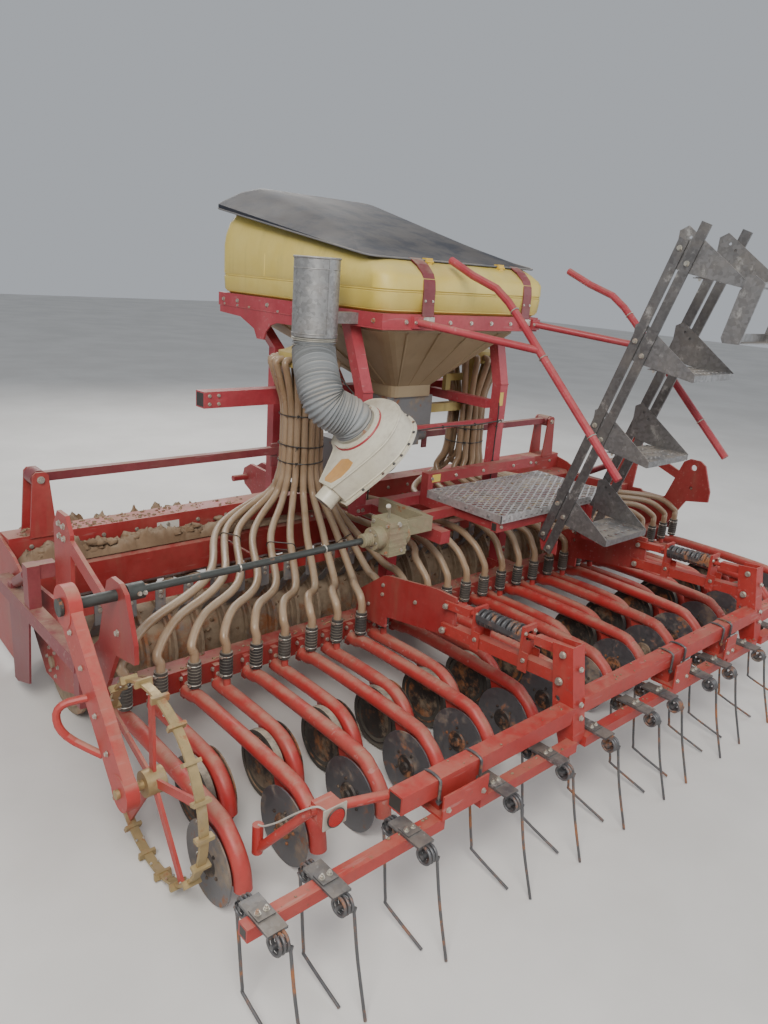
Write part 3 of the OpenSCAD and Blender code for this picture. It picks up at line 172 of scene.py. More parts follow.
def painted(name, base, alt, dust, rust, seed, wear=0.25, gloss=0.35, soil_low=0.0):
    """Old implement paint: faded areas, chips to primer and rust, runs of dirt and dust lying on top faces."""
    k = Look(name, seed)
    large = k.noise(2.2, 5, 0.6, off=0)
    fine = k.noise(38, 6, 0.7, off=3)
    streak = k.noise(9, 5, 0.65, stretch=(1, 1, 0.12), off=5)
    col = k.mix(k.step(large, 0.35, 0.68), base, alt)
    col = k.mix(k.step(fine, 0.4, 0.75, 0, 0.35), col, shade(base, 0.62))
    # fine scratches down to primer
    scr = k.noise(60, 2, 0.4, stretch=(0.12, 1, 1), off=7)
    scr = k.mul(k.step(scr, 0.66 - 0.03 * wear, 0.69), k.step(large, 0.42, 0.6))
    col = k.mix(k.mul(scr, 0.25), col, (0.45, 0.36, 0.33))
    # chips and rust
    chip_n = k.add(k.noise(14, 8, 0.72, off=11), k.mul(fine, 0.35))
    lim = 0.93 - 0.12 * rust
    rim = k.step(chip_n, lim - 0.035, lim - 0.01)
    chip = k.step(chip_n, lim, lim + 0.02)
    rust_col = k.mix(k.noise(80, 4, 0.6), RUST, (0.34, 0.13, 0.05))
    col = k.mix(k.mul(rim, 0.55), col, shade(base, 0.5, 0.05))
    col = k.mix(chip, col, rust_col)
    # dirt runs
    run = k.mul(k.step(streak, 0.48, 0.72), k.step(k.noise(5, 3, 0.5, off=2), 0.35, 0.6))
    col = k.mix(k.mul(run, 0.42 * dust + 0.1), col, (0.2, 0.13, 0.09))
    # dust on faces that look up, and thin dust all over
    lie = k.mul(k.step(k.up(), 0.35, 0.95), k.step(k.noise(7, 7, 0.7, off=9), 0.3, 0.62))
    film = k.step(k.noise(3.2, 6, 0.65, off=13), 0.3, 0.85, 0.03, 0.32 * dust)
    d = k.top(k.mul(lie, min(dust * 1.15, 0.95)), film)
    if soil_low > 0:
        low = k.add(k.height(), k.mul(k.noise(11, 6, 0.7, off=4), 0.35))
        d = k.top(d, k.mul(k.step(low, 0.2 + soil_low, 0.05 + soil_low), 0.85))
    col = k.mix(d, col, k.mix(k.noise(26, 5, 0.6, off=6), DUST, (0.27, 0.2, 0.14)))
    rough = k.add(k.mul(d, 0.5), k.mul(chip, 0.4))
    rough = k.math("MINIMUM", k.add(rough, k.step(large, 0.3, 0.8, gloss, gloss + 0.2)), 0.95)
    grit = k.add(k.mul(chip, -0.6), k.mul(k.mul(d, k.noise(190, 3, 0.7)), 0.9))
    nrm = k.bump(grit, 0.5, 0.0012, k.bump(k.noise(120, 2, 0.5), 0.12, 0.001))
    return k.put(col, rough, k.mul(chip, 0.15), nrm)


def galvanised(name, tone, dust, rust, seed):
    """Zinc spangle with stains, white bloom and dust."""
    k = Look(name, seed)
    sep = k.node("SeparateColor", Color=k.voronoi(70, seed, "Color")).outputs[0]
    col = k.mix(sep, shade(tone, 0.8), shade(tone, 1.15))
    stain = k.noise(6, 7, 0.7, off=2, distort=0.6)
    col = k.mix(k.step(stain, 0.45, 0.75, 0, 0.6), col, (0.23, 0.21, 0.19))
    bloom = k.noise(13, 6, 0.7, off=4)
    col = k.mix(k.step(bloom, 0.56, 0.7, 0, 0.55), col, (0.66, 0.66, 0.64))
    rst = k.step(k.noise(17, 8, 0.75, off=8), 0.72 - 0.16 * rust, 0.78 - 0.12 * rust)
    col = k.mix(rst, col, k.mix(k.noise(60, 3), RUST, (0.3, 0.14, 0.07)))
    lie = k.mul(k.step(k.up(), 0.3, 0.95), k.step(k.noise(9, 6, 0.7, off=5), 0.32, 0.62))
    d = k.top(k.mul(lie, dust * 1.5), k.step(bloom, 0.3, 0.8, 0.02, 0.3 * dust))
    rough = k.add(k.step(stain, 0.3, 0.7, 0.38, 0.62), k.mul(k.top(d, rst), 0.3))
    metal = k.math("SUBTRACT", 0.75, k.mul(k.top(d, rst), 0.7))
    return k.put(k.mix(d, col, DUST), rough, metal, k.bump(k.noise(150, 4, 0.6), 0.15, 0.001))


def steel(name, tone, rust, soil, seed, rough=0.42, metal=0.75):
    """Bare or oiled steel with rust bloom and dry soil."""
    k = Look(name, seed)
    a = k.noise(9, 8, 0.72, off=0)
    b = k.noise(45, 6, 0.7, off=2)
    col = k.mix(b, shade(tone, 0.7), shade(tone, 1.35))
    r = k.step(k.add(a, k.mul(b, 0.3)), 0.82 - 0.4 * rust, 0.92 - 0.3 * rust)
    col = k.mix(r, col, k.mix(b, RUST, (0.36, 0.16, 0.07)))
    s = k.step(k.noise(6, 7, 0.7, off=6), 0.7 - 0.4 * soil, 0.78 - 0.3 * soil)
    s = k.mul(s, min(0.25 + soil, 1.0))
    col = k.mix(s, col, k.mix(k.noise(30, 4, off=1), SOIL, DUST))
    cover = k.top(r, s)
    rg = k.add(k.step(b, 0.3, 0.7, rough - 0.08, rough + 0.12), k.mul(cover, 0.35))
    nrm = k.bump(k.add(k.mul(s, k.noise(90, 4, 0.7)), k.mul(b, 0.15)), 0.6, 0.002)
    return k.put(col, rg, k.mul(k.math("SUBTRACT", 1.0, cover), metal), nrm)


def plastic(name, base, alt, rough, dust, seed, trans=0.0, speck=0.2, grain=0.12, streaks=0.4, **extra):
    """Moulded plastic or rubber with fading, streaks and dust."""
    k = Look(name, seed)
    large = k.noise(3.1, 5, 0.6, off=0)
    col = k.mix(k.step(large, 0.3, 0.7), base, alt)
    col = k.mix(k.step(k.noise(55, 5, 0.7, off=1), 0.55, 0.8, 0, speck), col, shade(base, 0.45))
    streak = k.step(k.noise(12, 4, 0.6, stretch=(1, 1, 0.1), off=3), 0.5, 0.74)
    col = k.mix(k.mul(k.mul(streak, k.step(large, 0.4, 0.62)), streaks), col, shade(base, 0.4))
    lie = k.mul(k.step(k.up(), 0.2, 0.9), k.step(k.noise(6, 7, 0.7, off=9), 0.28, 0.6))
    d = k.top(k.mul(lie, dust), k.step(k.noise(4, 6, 0.6, off=2), 0.3, 0.85, 0.02, 0.35 * dust))
    col = k.mix(d, col, k.mix(k.noise(20, 4), DUST, (0.5, 0.45, 0.37)))
    rg = k.math("MINIMUM", k.add(k.step(large, 0.3, 0.7, rough, rough + 0.12), k.mul(d, 0.45)), 0.95)
    if trans:
        extra.update(Subsurface_Weight=trans, Subsurface_Radius=(0.02, 0.012, 0.006))
    return k.put(col, rg, 0.0, k.bump(k.noise(170, 3, 0.6), grain, 0.001), **extra)


# painted: two tones, dust, rust, seed; galvanised: tone, dust, rust, seed
# steel: tone, rust, soil, seed; plastic: two tones, roughness, dust, seed
M = {
    "red": painted("red_paint_old", (0.26, 0.012, 0.022), (0.36, 0.035, 0.045), 0.5, 0.25, 1.0),
    "red_low": painted("red_paint_low", (0.29, 0.012, 0.016), (0.37, 0.04, 0.04), 0.5, 0.4, 4.0, soil_low=0.06),
    "red_rail": painted("red_paint_sunlit", (0.34, 0.016, 0.034), (0.45, 0.06, 0.08), 0.35, 0.1, 7.0),
    "dark": painted("dark_red_paint", (0.16, 0.012, 0.025), (0.24, 0.035, 0.05), 0.6, 0.3, 9.0),
    "orange": painted("rack_red_paint", (0.36, 0.017, 0.016), (0.42, 0.042, 0.034), 0.3, 0.65, 12.0, wear=0.8),
    "arm": painted("coulter_red_paint", (0.40, 0.016, 0.018), (0.40, 0.045, 0.038), 0.5, 0.35, 15.0, soil_low=0.1),
    "cream": painted("cream_paint", (0.60, 0.56, 0.42), (0.68, 0.65, 0.54), 0.35, 0.12, 20.0, gloss=0.25),
    "beige": painted("beige_grey_paint", (0.40, 0.36, 0.30), (0.47, 0.43, 0.37), 0.4, 0.3, 22.0),
    "amber": painted("worn_orange_patch", (0.62, 0.27, 0.04), (0.55, 0.30, 0.09), 0.35, 0.35, 24.0, wear=0.8),
    "zinc": galvanised("galvanised_plate", (0.40, 0.40, 0.405), 0.2, 0.1, 2.0),
    "zinc_step": galvanised("galvanised_steps", (0.23, 0.23, 0.235), 0.25, 0.2, 4.0),
    "zinc_dark": galvanised("galvanised_ladder", (0.17, 0.17, 0.175), 0.2, 0.3, 5.0),
    "duct": galvanised("galvanised_duct", (0.33, 0.335, 0.34), 0.35, 0.25, 8.0),
    "grate": galvanised("galvanised_grating", (0.62, 0.62, 0.62), 0.12, 0.1, 2.5),
    "disc": steel("disc_steel", (0.17, 0.17, 0.18), 0.32, 0.42, 1.0),
    # darker copy of the disc steel for the front discs: its dark tone is painted shade, together with heavier rust
    "disc_rust_and_shade": steel("disc_steel_shaded_rusty", (0.075, 0.065, 0.06), 0.45, 0.5, 3.0, 0.6),
    "roller": steel("roller_steel", (0.27, 0.25, 0.23), 0.75, 0.85, 6.0, 0.5),
    "khaki": steel("cast_khaki_dusty", (0.27, 0.24, 0.15), 0.2, 0.5, 18.0, 0.68, 0.1),
    "shaft": steel("shaft_dark", (0.07, 0.075, 0.07), 0.2, 0.2, 19.0, 0.5, 0.5),
    "cast": steel("cast_iron", (0.20, 0.20, 0.20), 0.3, 0.5, 8.0, 0.6, 0.4),
    "tine": steel("spring_steel", (0.12, 0.12, 0.125), 0.45, 0.3, 10.0, 0.45, 0.6),
    "bolt": steel("bolt_zinc", (0.50, 0.48, 0.42), 0.35, 0.25, 12.0, 0.35),
    "gold": steel("wheel_golden", (0.36, 0.27, 0.135), 0.3, 0.4, 14.0, 0.5, 0.5),
    "tank": plastic("tank_yellow_faded", (0.62, 0.47, 0.085), (0.68, 0.55, 0.16), 0.4, 0.25, 1.0, 0.05, streaks=0.25),
    "lid": plastic("lid_blue_grey", (0.012, 0.016, 0.028), (0.020, 0.026, 0.042), 0.58, 0.14, 4.0,
                   Specular_IOR_Level=0.22),
    "lid_rim": plastic("lid_rim_dusty", (0.10, 0.11, 0.13), (0.16, 0.16, 0.17), 0.6, 0.5, 5.0),
    "funnel": plastic("funnel_moulded", (0.30, 0.22, 0.12), (0.38, 0.29, 0.17), 0.5, 0.5, 6.0),
    "hose": plastic("hose_tan_clear", (0.25, 0.16, 0.09), (0.35, 0.245, 0.155), 0.24, 0.35, 8.0, 0.12, streaks=0.2),
    "grey": plastic("hose_grey_ribbed", (0.20, 0.22, 0.235), (0.26, 0.28, 0.295), 0.45, 0.45, 10.0),
    "black": plastic("rubber_black_worn", (0.016, 0.016, 0.018), (0.035, 0.034, 0.033), 0.55, 0.5, 12.0),
    "tyre": plastic("depth_wheel_rubber", (0.02, 0.02, 0.021), (0.045, 0.042, 0.038), 0.7, 0.75, 14.0),
    "heads": plastic("head_yellow_dusty", (0.42, 0.31, 0.06), (0.48, 0.37, 0.12), 0.5, 0.5, 17.0),
    "tie": plastic("tie_black", (0.01, 0.01, 0.011), (0.02, 0.02, 0.02), 0.4, 0.2, 18.0),
    "label": plastic("blank_label_yellow", (0.72, 0.52, 0.05), (0.66, 0.50, 0.12), 0.45, 0.3, 26.0),
    "white": plastic("blank_label_white", (0.62, 0.60, 0.56), (0.55, 0.52, 0.47), 0.5, 0.4, 28.0),
    "catch": plastic("catch_yellow", (0.66, 0.42, 0.03), (0.70, 0.50, 0.08), 0.4, 0.3, 30.0),
    "soil": plastic("dry_soil", (0.15, 0.09, 0.05), (0.24, 0.155, 0.09), 0.95, 0.3, 32.0, speck=0.6, grain=0.9),
    "straw": plastic("straw", (0.42, 0.31, 0.13), (0.55, 0.43, 0.22), 0.8, 0.3, 34.0),
    "cable": plastic("cable_pale", (0.45, 0.43, 0.39), (0.36, 0.34, 0.3), 0.5, 0.3, 36.0),
}
lens = Look("reflector_red")
cells = lens.voronoi(420, 1.0)
M["lens"] = lens.put(lens.mix(lens.step(cells, 0.1, 0.5), (0.75, 0.02, 0.012), (0.35, 0.004, 0.004)), 0.15, 0.0,
                     lens.bump(cells, 0.6, 0.001), Coat_Weight=0.8)


# geometry
class Bag:
    """Gathers faces of one visual piece; put() makes it, once all are gathered."""
    made = []

    def __init__(self, name, mat, body="chassis", angle=35, slot=None, stands_for=None):
        self.name, self.mat, self.body, self.angle = name, mat, body, angle
        self.slot, self.stands_for = slot, stands_for
        self.v, self.f = [], []
        Bag.made.append(self)

    def add(self, verts, faces):
        n = len(self.v)
        self.v += [tuple(v) for v in verts]
        self.f += [tuple(i + n for i in f) for f in faces]

    def box(self, x0, x1, y0, y1, z0, z1):
        a, b = P(x0, y0, z0), P(x1, y1, z1)
        self.obox((a + b) / 2, X, Y, (b - a) / 2)

    def obox(self, c, ax, ay, half):
        ax, ay = ax.normalized(), ay.normalized()
        az = ax.cross(ay).normalized()
        vs = [c + ax * half[0] * i + ay * half[1] * j + az * half[2] * k for i, j, k in product(SIDES, repeat=3)]
        self.add(vs, [(0, 1, 3, 2), (4, 6, 7, 5), (0, 4, 5, 1), (2, 3, 7, 6), (0, 2, 6, 4), (1, 5, 7, 3)])

    def tube(self, pts, r, sides=12, closed=False):
        """r is a number or a list, in metres; pts are vectors."""
        n = len(pts)
        rs = r if isinstance(r, list) else [r] * n
        tan = []
        for i in range(n):
            a = pts[i - 1] if closed or i > 0 else pts[0]
            b = pts[(i + 1) % n] if closed or i < n - 1 else pts[-1]
            tan.append((b - a).normalized())
        ref = X if abs(tan[0].x) < 0.9 else Z
        u = (ref - tan[0] * ref.dot(tan[0])).normalized()
        verts, faces = [], []
        for i in range(n):
            u = (u - tan[i] * u.dot(tan[i])).normalized()
            w = tan[i].cross(u)
            verts += [pts[i] + (u * c + w * s) * rs[i] for c, s in circle(sides, 1)]
        for i in range(n if closed else n - 1):
            p, q = i * sides, ((i + 1) % n) * sides
            for j in range(sides):
                k = (j + 1) % sides
                faces.append((p + j, q + j, q + k, p + k))
        if not closed:
            faces.append(tuple(range(sides)))
            faces.append(tuple(reversed(range((n - 1) * sides, n * sides))))
        self.add(verts, faces)

    def cyl(self, p, q, r, sides=20, r2=None):
        self.tube([p, q], [r, r if r2 is None else r2], sides)

    def ring(self, c, axis, big, small, nu=32, nv=8):
        axis = axis.normalized()
        u = axis.cross(X if abs(axis.x) < 0.9 else Z).normalized()
        w = axis.cross(u)
        self.tube([c + (u * a + w * b) * big for a, b in circle(nu, 1)], small, nv, True)

    def skin(self, rings, caps=True):
        """Walls from ring to ring of equally many points, with ends where caps is set."""
        n = len(rings[0])
        faces = []
        for i, j in product(range(len(rings) - 1), range(n)):
            k = (j + 1) % n
            faces.append((i * n + j, i * n + k, (i + 1) * n + k, (i + 1) * n + j))
        if caps:
            faces.append(tuple(reversed(range(n))))
            faces.append(tuple(range((len(rings) - 1) * n, len(rings) * n)))
        self.add([v for r in rings for v in r], faces)

    def bolt(self, p, axis, size, rod=0.0):
        """Hex head on a washer; p is on the face and axis points out of it."""
        self.cyl(p - axis * 0.001, p + axis * size * 0.16, size * 1.05, 16)
        self.cyl(p, p + axis * size * 0.8, size * 0.88, 6, size * 0.82)
        if rod:
            self.cyl(p, p + axis * (size * 0.8 + rod), size * 0.42, 10)

    def bolts(self, xs, ys, zs, axis, size):
        """Bolts at all places that the three rows give; a number is a row of one."""
        for place in product(*(v if isinstance(v, tuple) else (v,) for v in (xs, ys, zs))):
            self.bolt(P(*place), axis, size)

    def both(self, x, gap, y, z, size):
        """Bolts on both cheeks of a bar, gap from its middle."""
        for e in SIDES:
            self.bolt(P(x + e * gap, y, z), X * e, size)

    def put(self):
        me = bpy.data.meshes.new(self.name)
        me.from_pydata(self.v, [], self.f)
        me.validate()
        me.update()
        me.shade_smooth()
        me.set_sharp_from_angle(angle=radians(self.angle))
        me.materials.append(M[self.mat])
        o = bpy.data.objects.new(self.name, me)
        bpy.context.scene.collection.objects.link(o)
        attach(o, self.body)
        if self.stands_for:
            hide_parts(self.stands_for)


def spline(pts, k):
    out = []
    n = len(pts)
    for s in range(n - 1):
        a, b, c, d = pts[max(s - 1, 0)], pts[s], pts[s + 1], pts[min(s + 2, n - 1)]
        for j in range(k):
            t = j / k
            start = (2 * b) + (c - a) * t + (2 * a - 5 * b + 4 * c - d) * t * t
            out.append(0.5 * (start + (3 * b - a - 3 * c + d) * t ** 3))
    out.append(pts[-1])
    return out


def along(pts, step):
    """Points of a path at an even spacing."""
    out, left = [pts[0]], step
    for a, b in zip(pts, pts[1:]):
        d = (b - a).length
        while d >= left > 0:
            a = a + (b - a).normalized() * left
            d = (b - a).length
            out.append(a)
            left = step
        left -= d
    out.append(pts[-1])
    return out


# CAD nodes of each material
LOOKS = {
    "red": "headstock platform_frame ladder_bracket", "red_low": "harrow_trough packer_frame coulter_bar",
    "red_rail": "hopper_frame handrails", "dark": "end_frames marker_arm_left marker_arm_right",
    "arm": "arms_long arms_short wheel_arm", "orange": "harrow_links_lower harrow_links_upper harrow_rack",
    "roller": "rotor_tines packer_roller", "cast": "gearbox metering_unit", "khaki": "gear_drive",
    "black": "boots", "disc": "discs_rear", "disc_rust_and_shade": "discs_front", "tyre": "wheels_front", "tank": "tank",
    "funnel": "tank_funnel", "lid": "lid", "heads": "distributors", "cream": "fan_housing", "duct": "intake_duct",
    "zinc": "platform", "zinc_dark": "ladder_bars ladder_links", "tine": "tines", "gold": "drive_wheel",
    "zinc_step": "ladder_step_1 ladder_step_2 ladder_step_3 ladder_step_4 ladder_tail", "grey": "fan_hose",
    "hose": "hoses_left hoses_right"}
for key, names in LOOKS.items():
    for name in names.split():
        me = nodes[name].data
        me.materials.clear()
        me.materials.append(M[key])


def second_look(name, key, inside):
    """Gives the faces of a CAD node that lie inside a region another material."""
    o = nodes[name]
    o.data.materials.append(M[key])
    for face in o.data.polygons:
        face.material_index = int(inside(o.matrix_world @ face.center - P(0, 0, 0)))


# following harrow's links: half distance, height and slope of the upper ones
LINK_X, LINK_Z, LINK_SLOPE = 729.0, 605.0, -40 / 585


def link_z(y):
    return LINK_Z + (y + 440) * LINK_SLOPE


def in_spring(c):
    return -0.832 < c.y < -0.608 and hypot(abs(c.x) - LINK_X / 1000, c.z - link_z(c.y * 1000) / 1000) < 0.04


# middle of the drive wheel
WX, WY, WZ = -2044.0, -460.0, 335.0
second_look("drive_wheel", "arm", lambda c: 0.05 < hypot(c.y - WY / 1000, c.z - WZ / 1000) < 0.28)
second_look("gear_drive", "shaft", lambda c: c.x < -0.86)
second_look("harrow_links_lower", "tine", in_spring)

# rows and hoses
PITCH, ROWS, MID, BOOT_TOP = 138.0, 29, 15, 426.3
HEAD_X, HEAD_Y, HEAD_Z, HEAD_R, BUNDLE, HOSE_R = 620.0, 800.0, 1445.0, 130.0, 99.0, 0.0178
POST_X, POST_ROOM = 430, 95
ALL_ROWS = range(1, ROWS + 1)
LONG_ROWS, SHORT_ROWS = ALL_ROWS[::2], ALL_ROWS[1::2]


def row_x(i):
    return (i - MID) * PITCH


def ring_angle(i):
    left = i <= MID
    rank, total = (i - 1, MID) if left else (ROWS - i, MID - 1)
    a = (90 + (rank + (0.75 if left else 1.0)) * 360 / total) % 360
    return radians(180 + (a - 180) * 160 / 180)


def ring_point(i, r, z):
    s, a = (-1 if i <= MID else 1), ring_angle(i)
    return V(s * (HEAD_X - r * cos(a)), HEAD_Y + r * sin(a), z)


def cleared(x):
    for post in (-POST_X, POST_X):
        if abs(x - post) < POST_ROOM:
            x = post + POST_ROOM * (-1 if x < post else 1)
    return x


def hose_path(i):
    f, x, g = sin(ring_angle(i)), row_x(i), ring_point(i, 153, 744)
    inner = (i - 1 if i <= MID else ROWS - i) > 10
    near, mid, end = (0.8, 0.96, 0.98) if inner else (0.32, 0.61, 0.89)
    low = [ring_point(i, HEAD_R + 40, HEAD_Z - 14), ring_point(i, HEAD_R + 6, HEAD_Z - 110),
           ring_point(i, BUNDLE, HEAD_Z - 250), ring_point(i, BUNDLE, 960), ring_point(i, 112, 840), g,
           V(g.x + near * (x - g.x), 620 + 200 * f, 646),
           V(cleared(g.x + mid * (x - g.x)), 242 + 42 * f, 570 + 63 * f),
           V(g.x + end * (x - g.x), 96, 550 + 33 * f), V(x, 18, 496), V(x, 0, 456)]
    pts = [ring_point(i, HEAD_R + 0.3, HEAD_Z), ring_point(i, HEAD_R + 22, HEAD_Z)] + spline(low, 9)
    pts.append(V(x, 0, BOOT_TOP))
    out = []
    for n, p in enumerate(pts):
        amp = 5.0 * min(n, len(pts) - 1 - n, 14) / 14
        q = p * 0.004
        out.append(p + amp * V(noise.noise(q + V(i, 0, 0)), noise.noise(q + V(0, i, 5)), 0))
    return placed(out)


paths = {i: hose_path(i) for i in ALL_ROWS}
for side, rows in (("left", ALL_ROWS[:MID]), ("right", ALL_ROWS[MID:])):
    bag = Bag("seed_hoses_" + side, "hose", angle=60, slot="hose_tan", stands_for="hoses_" + side)
    for i in rows:
        bag.tube(paths[i], HOSE_R, 16)

# black ties round the bundles, and between neighbouring hoses
ties = Bag("hose_ties", "tie")
for s, (z, tilt) in product(SIDES, ((1172, 0.06), (1012, -0.09), (930, 0.04))):
    pts = []
    for n in range(48):
        a = 2 * pi * n / 48
        r = BUNDLE + 18 + 1.5 * sin(7.5 * a)
        pts.append(P(s * HEAD_X + r * cos(a), HEAD_Y + r * sin(a), z + 60 * tilt * cos(a)))
    ties.tube(pts, 0.0032, 6, True)
    knot = P(s * HEAD_X - (BUNDLE + 21) * 0.7, HEAD_Y - (BUNDLE + 21) * 0.7, z)
    ties.obox(knot, X + 0.3 * Y, Y, (0.007, 0.005, 0.005))
    ties.tube([knot, knot + V(-0.02, -0.03, 0.012), knot + V(-0.045, -0.05, -0.004)], 0.0018, 6)
for a, b in ((2, 3), (5, 6), (9, 10), (12, 13), (17, 18), (22, 23), (26, 27)):
    n = int(len(paths[a]) * 0.62)
    c, d = paths[a][n], paths[b][n]
    gap = (d - c).length
    if gap < 0.11:
        u = (d - c).normalized()
        w = (paths[a][n + 1] - c).normalized().cross(u).normalized()
        ties.tube([(c + d) / 2 + u * ((gap if p > 0 else -gap) / 2 + 0.02 * p) + w * 0.02 * q
                   for p, q in circle(24, 1)], 0.0026, 6, True)

# grey hose between duct and fan, with its ribs
TILT, BEARING = radians(47), radians(172)
FAN_AT = V(-705, 250, 1203)
FAN_N = V(sin(TILT) * cos(BEARING), sin(TILT) * sin(BEARING), cos(TILT))
FAN_U = V(cos(TILT) * cos(BEARING), cos(TILT) * sin(BEARING), -sin(TILT))
FAN_V = FAN_N.cross(FAN_U)
DX, DY = -810.0, 470.0


def fan(u, v, n):
    """Point in the fan's own frame: u and v in the inlet plane, n along its axis."""
    return P(*(FAN_AT + FAN_U * u + FAN_V * v + FAN_N * n))


low = [V(DX, DY, 1589.7), V(DX, DY, 1564.7), V(-813, 464, 1530), V(-832, 428, 1480), V(-856, 372, 1425),
       V(-866, 330, 1365), V(-846, 298, 1305), FAN_AT + FAN_N * 80, FAN_AT + FAN_N * 48, FAN_AT + FAN_N * 18.3]
pts = along(placed(spline(low, 12)), 0.0028)
bag = Bag("fan_hose_ribbed", "grey", angle=80, slot="hose_grey", stands_for="fan_hose")
bag.tube(pts, [0.0948 + 0.0058 * cos(2 * pi * n / 4.7) if 3 < n < len(pts) - 4 else 0.098
               for n in range(len(pts))], 36)
bag = Bag("hose_clamps", "bolt")
for c, n in ((P(DX, DY, 1580), Z), (fan(0, 0, 27), FAN_N)):
    for d in (-0.004, 0.004):
        bag.ring(c + n * d, n, 0.1005, 0.0035, 48, 6)
    bag.obox(c - n.cross(Y).normalized() * 0.106, n, Y, (0.009, 0.014, 0.007))

# fan: red inlet ring, shell, flange bolts, worn orange patch, scroll seams and the small hose at its outlet
Bag("fan_inlet_ring", "red_rail").ring(fan(0, 0, 2), FAN_N, 0.118, 0.011, 56, 10)
OUTLINE = [(300, 140), (150, 200), (60, 228), (0, 235), (-75, 220), (-145, 175), (-178, 100), (-180, 0),
           (-158, -80), (-108, -128), (-40, -148), (40, -142), (105, -106), (140, -50), (300, 30)]
CURVE = [(q.x, q.y) for q in spline([V(u, v, 0) for u, v in OUTLINE], 5)]


def grown(curve, d):
    """Open curve in the fan's plane, moved outwards by d."""
    out = []
    for i, (u, v) in enumerate(curve):
        a, b = curve[max(i - 1, 0)], curve[min(i + 1, len(curve) - 1)]
        t = V(b[0] - a[0], b[1] - a[1], 0).normalized()
        out.append((u + t.y * d, v - t.x * d))
    return out


LAYERS = ((16, -118.3), (16, -108.7), (2, -108.7), (2, -13), (-1, -4), (-9, 1.0))
Bag("fan_shell", "cream", angle=40).skin([[fan(u, v, n) for u, v in grown(CURVE, d)] for d, n in LAYERS])
bag = Bag("fan_bolts", "tine")
for u, v in grown(CURVE, 9)[3:-2:4]:
    bag.bolt(fan(u, v, -108.6), FAN_N, 0.0068)
for u, v in circle(6, 121, radians(20)):
    bag.bolt(fan(u, v, 12), FAN_N, 0.005)
patch = [(165, 60), (275, 52), (288, 66), (284, 118), (240, 150), (190, 158), (158, 150), (150, 100)]
n = len(patch)
Bag("fan_patch", "amber").add([fan(u, v, h) for h in (0.9, 2.2) for u, v in patch],
                              [tuple(range(n, 2 * n))] + [(i, (i + 1) % n, (i + 1) % n + n, i + n) for i in range(n)])
bag = Bag("fan_seams", "cream", angle=70)
for n in (-4.0, -100.0):
    bag.tube([fan(u, v, n) for u, v in grown(CURVE, 1.5)], 0.004, 8, True)
bag.ring(fan(298, 85, -55), FAN_U, 0.049, 0.006)
pts = [fan(300 + d, 85, -55) for d in range(0, 69, 2)]
Bag("outlet_hose", "grey", angle=80).tube(pts, [0.044 + 0.003 * cos(2 * pi * k / 4) for k in range(len(pts))], 28)

# intake duct: rolled rim, beads and lap seam, and a sieve inside
bag = Bag("duct_rim", "duct", angle=60)
top = P(DX, DY, 1930)
bag.ring(top - Z * 0.004, Z, 0.1025, 0.0048, 56)
bag.ring(top - Z * 0.05, Z, 0.1022, 0.0026, 56, 6)
bag.ring(P(DX, DY, 1604), Z, 0.1024, 0.003, 56, 6)
bag.box(DX - 12, DX + 12, DY - 104.6, DY - 101.2, 1594, 1928)
bag = Bag("duct_sieve", "zinc_dark")
for d in range(-90, 91, 18):
    h = sqrt(99.0 ** 2 - d ** 2)
    bag.cyl(P(DX + d, DY - h, 1885), P(DX + d, DY + h, 1885), 0.0015, 6)
    bag.cyl(P(DX - h, DY + d, 1888), P(DX + h, DY + d, 1888), 0.0015, 6)

# tank, lid and funnel
RAIL_Y0, RAIL_Y1, RAIL_TOP, HALF = 270.0, 1710.0, 1710.0, 585.0
TANK_Y0, TANK_Y1 = RAIL_Y0 + 110, RAIL_Y1 + 5
LID_FRONT, LID_REAR, LID_X = RAIL_Y1 + 30, RAIL_Y0 + 105, HALF + 15
HINGE_Y, HINGE_Z = 1762, 2150


def rounded(x, y0, y1, r, k):
    out = []
    for cx, cy, a0 in ((x - r, y1 - r, 0), (-x + r, y1 - r, 90), (-x + r, y0 + r, 180), (x - r, y0 + r, 270)):
        turns = [radians(a0 + 90 * j / k) for j in range(k + 1)]
        out += [(cx + r * cos(a), cy + r * sin(a)) for a in turns]
    return out


def tank_top(y):
    return 1950 + (2155 - 1950) * (y - TANK_Y0) / (TANK_Y1 - TANK_Y0)


def tank_z(y, share):
    return RAIL_TOP + 108 + (tank_top(y) - RAIL_TOP - 108) * share


# rings of the tank, outside and then inside: inset, rear edge forward, height over the rail or height share
TANK = [[28, 30, 0, 0], [4, 8, 22, 0], [0, 0, 92, 0], [5, 6, 96, 0], [5, 6, 104, 0], [0, 0, 108, 0.002],
        [0, 4, 0, 0.45], [6, 20, 0, 0.62], [22, 62, 0, 0.82], [52, 118, 0, 0.995], [128, 194, 0, 0.995],
        [132, 198, 0, 0.96], [134, 200, 112, 0], [150, 216, 20, 0]]
tank = Bag("tank_moulding", "tank", angle=50, slot="tank_yellow", stands_for="tank")
tank.skin([[P(x, y, tank_z(y, share) if share else RAIL_TOP + dz)
            for x, y in rounded(HALF - ins, RAIL_Y0 + 3 + back, TANK_Y1 - ins, 90, 12)]
           for ins, back, dz, share in TANK])
for x in (-406, 406):
    tank.box(x - 6, x + 6, TANK_Y1 - 60, 1774, 2090, tank_top(TANK_Y1 - 60) - 2)
    tank.box(x - 6, x + 6, LID_FRONT + 0.3, 1774, 2090, 2162)
    end = x + (34 if x > 0 else -34)
    tank.cyl(P(x * 400 / 406, HINGE_Y, HINGE_Z), P(end, HINGE_Y, HINGE_Z), 0.00595)
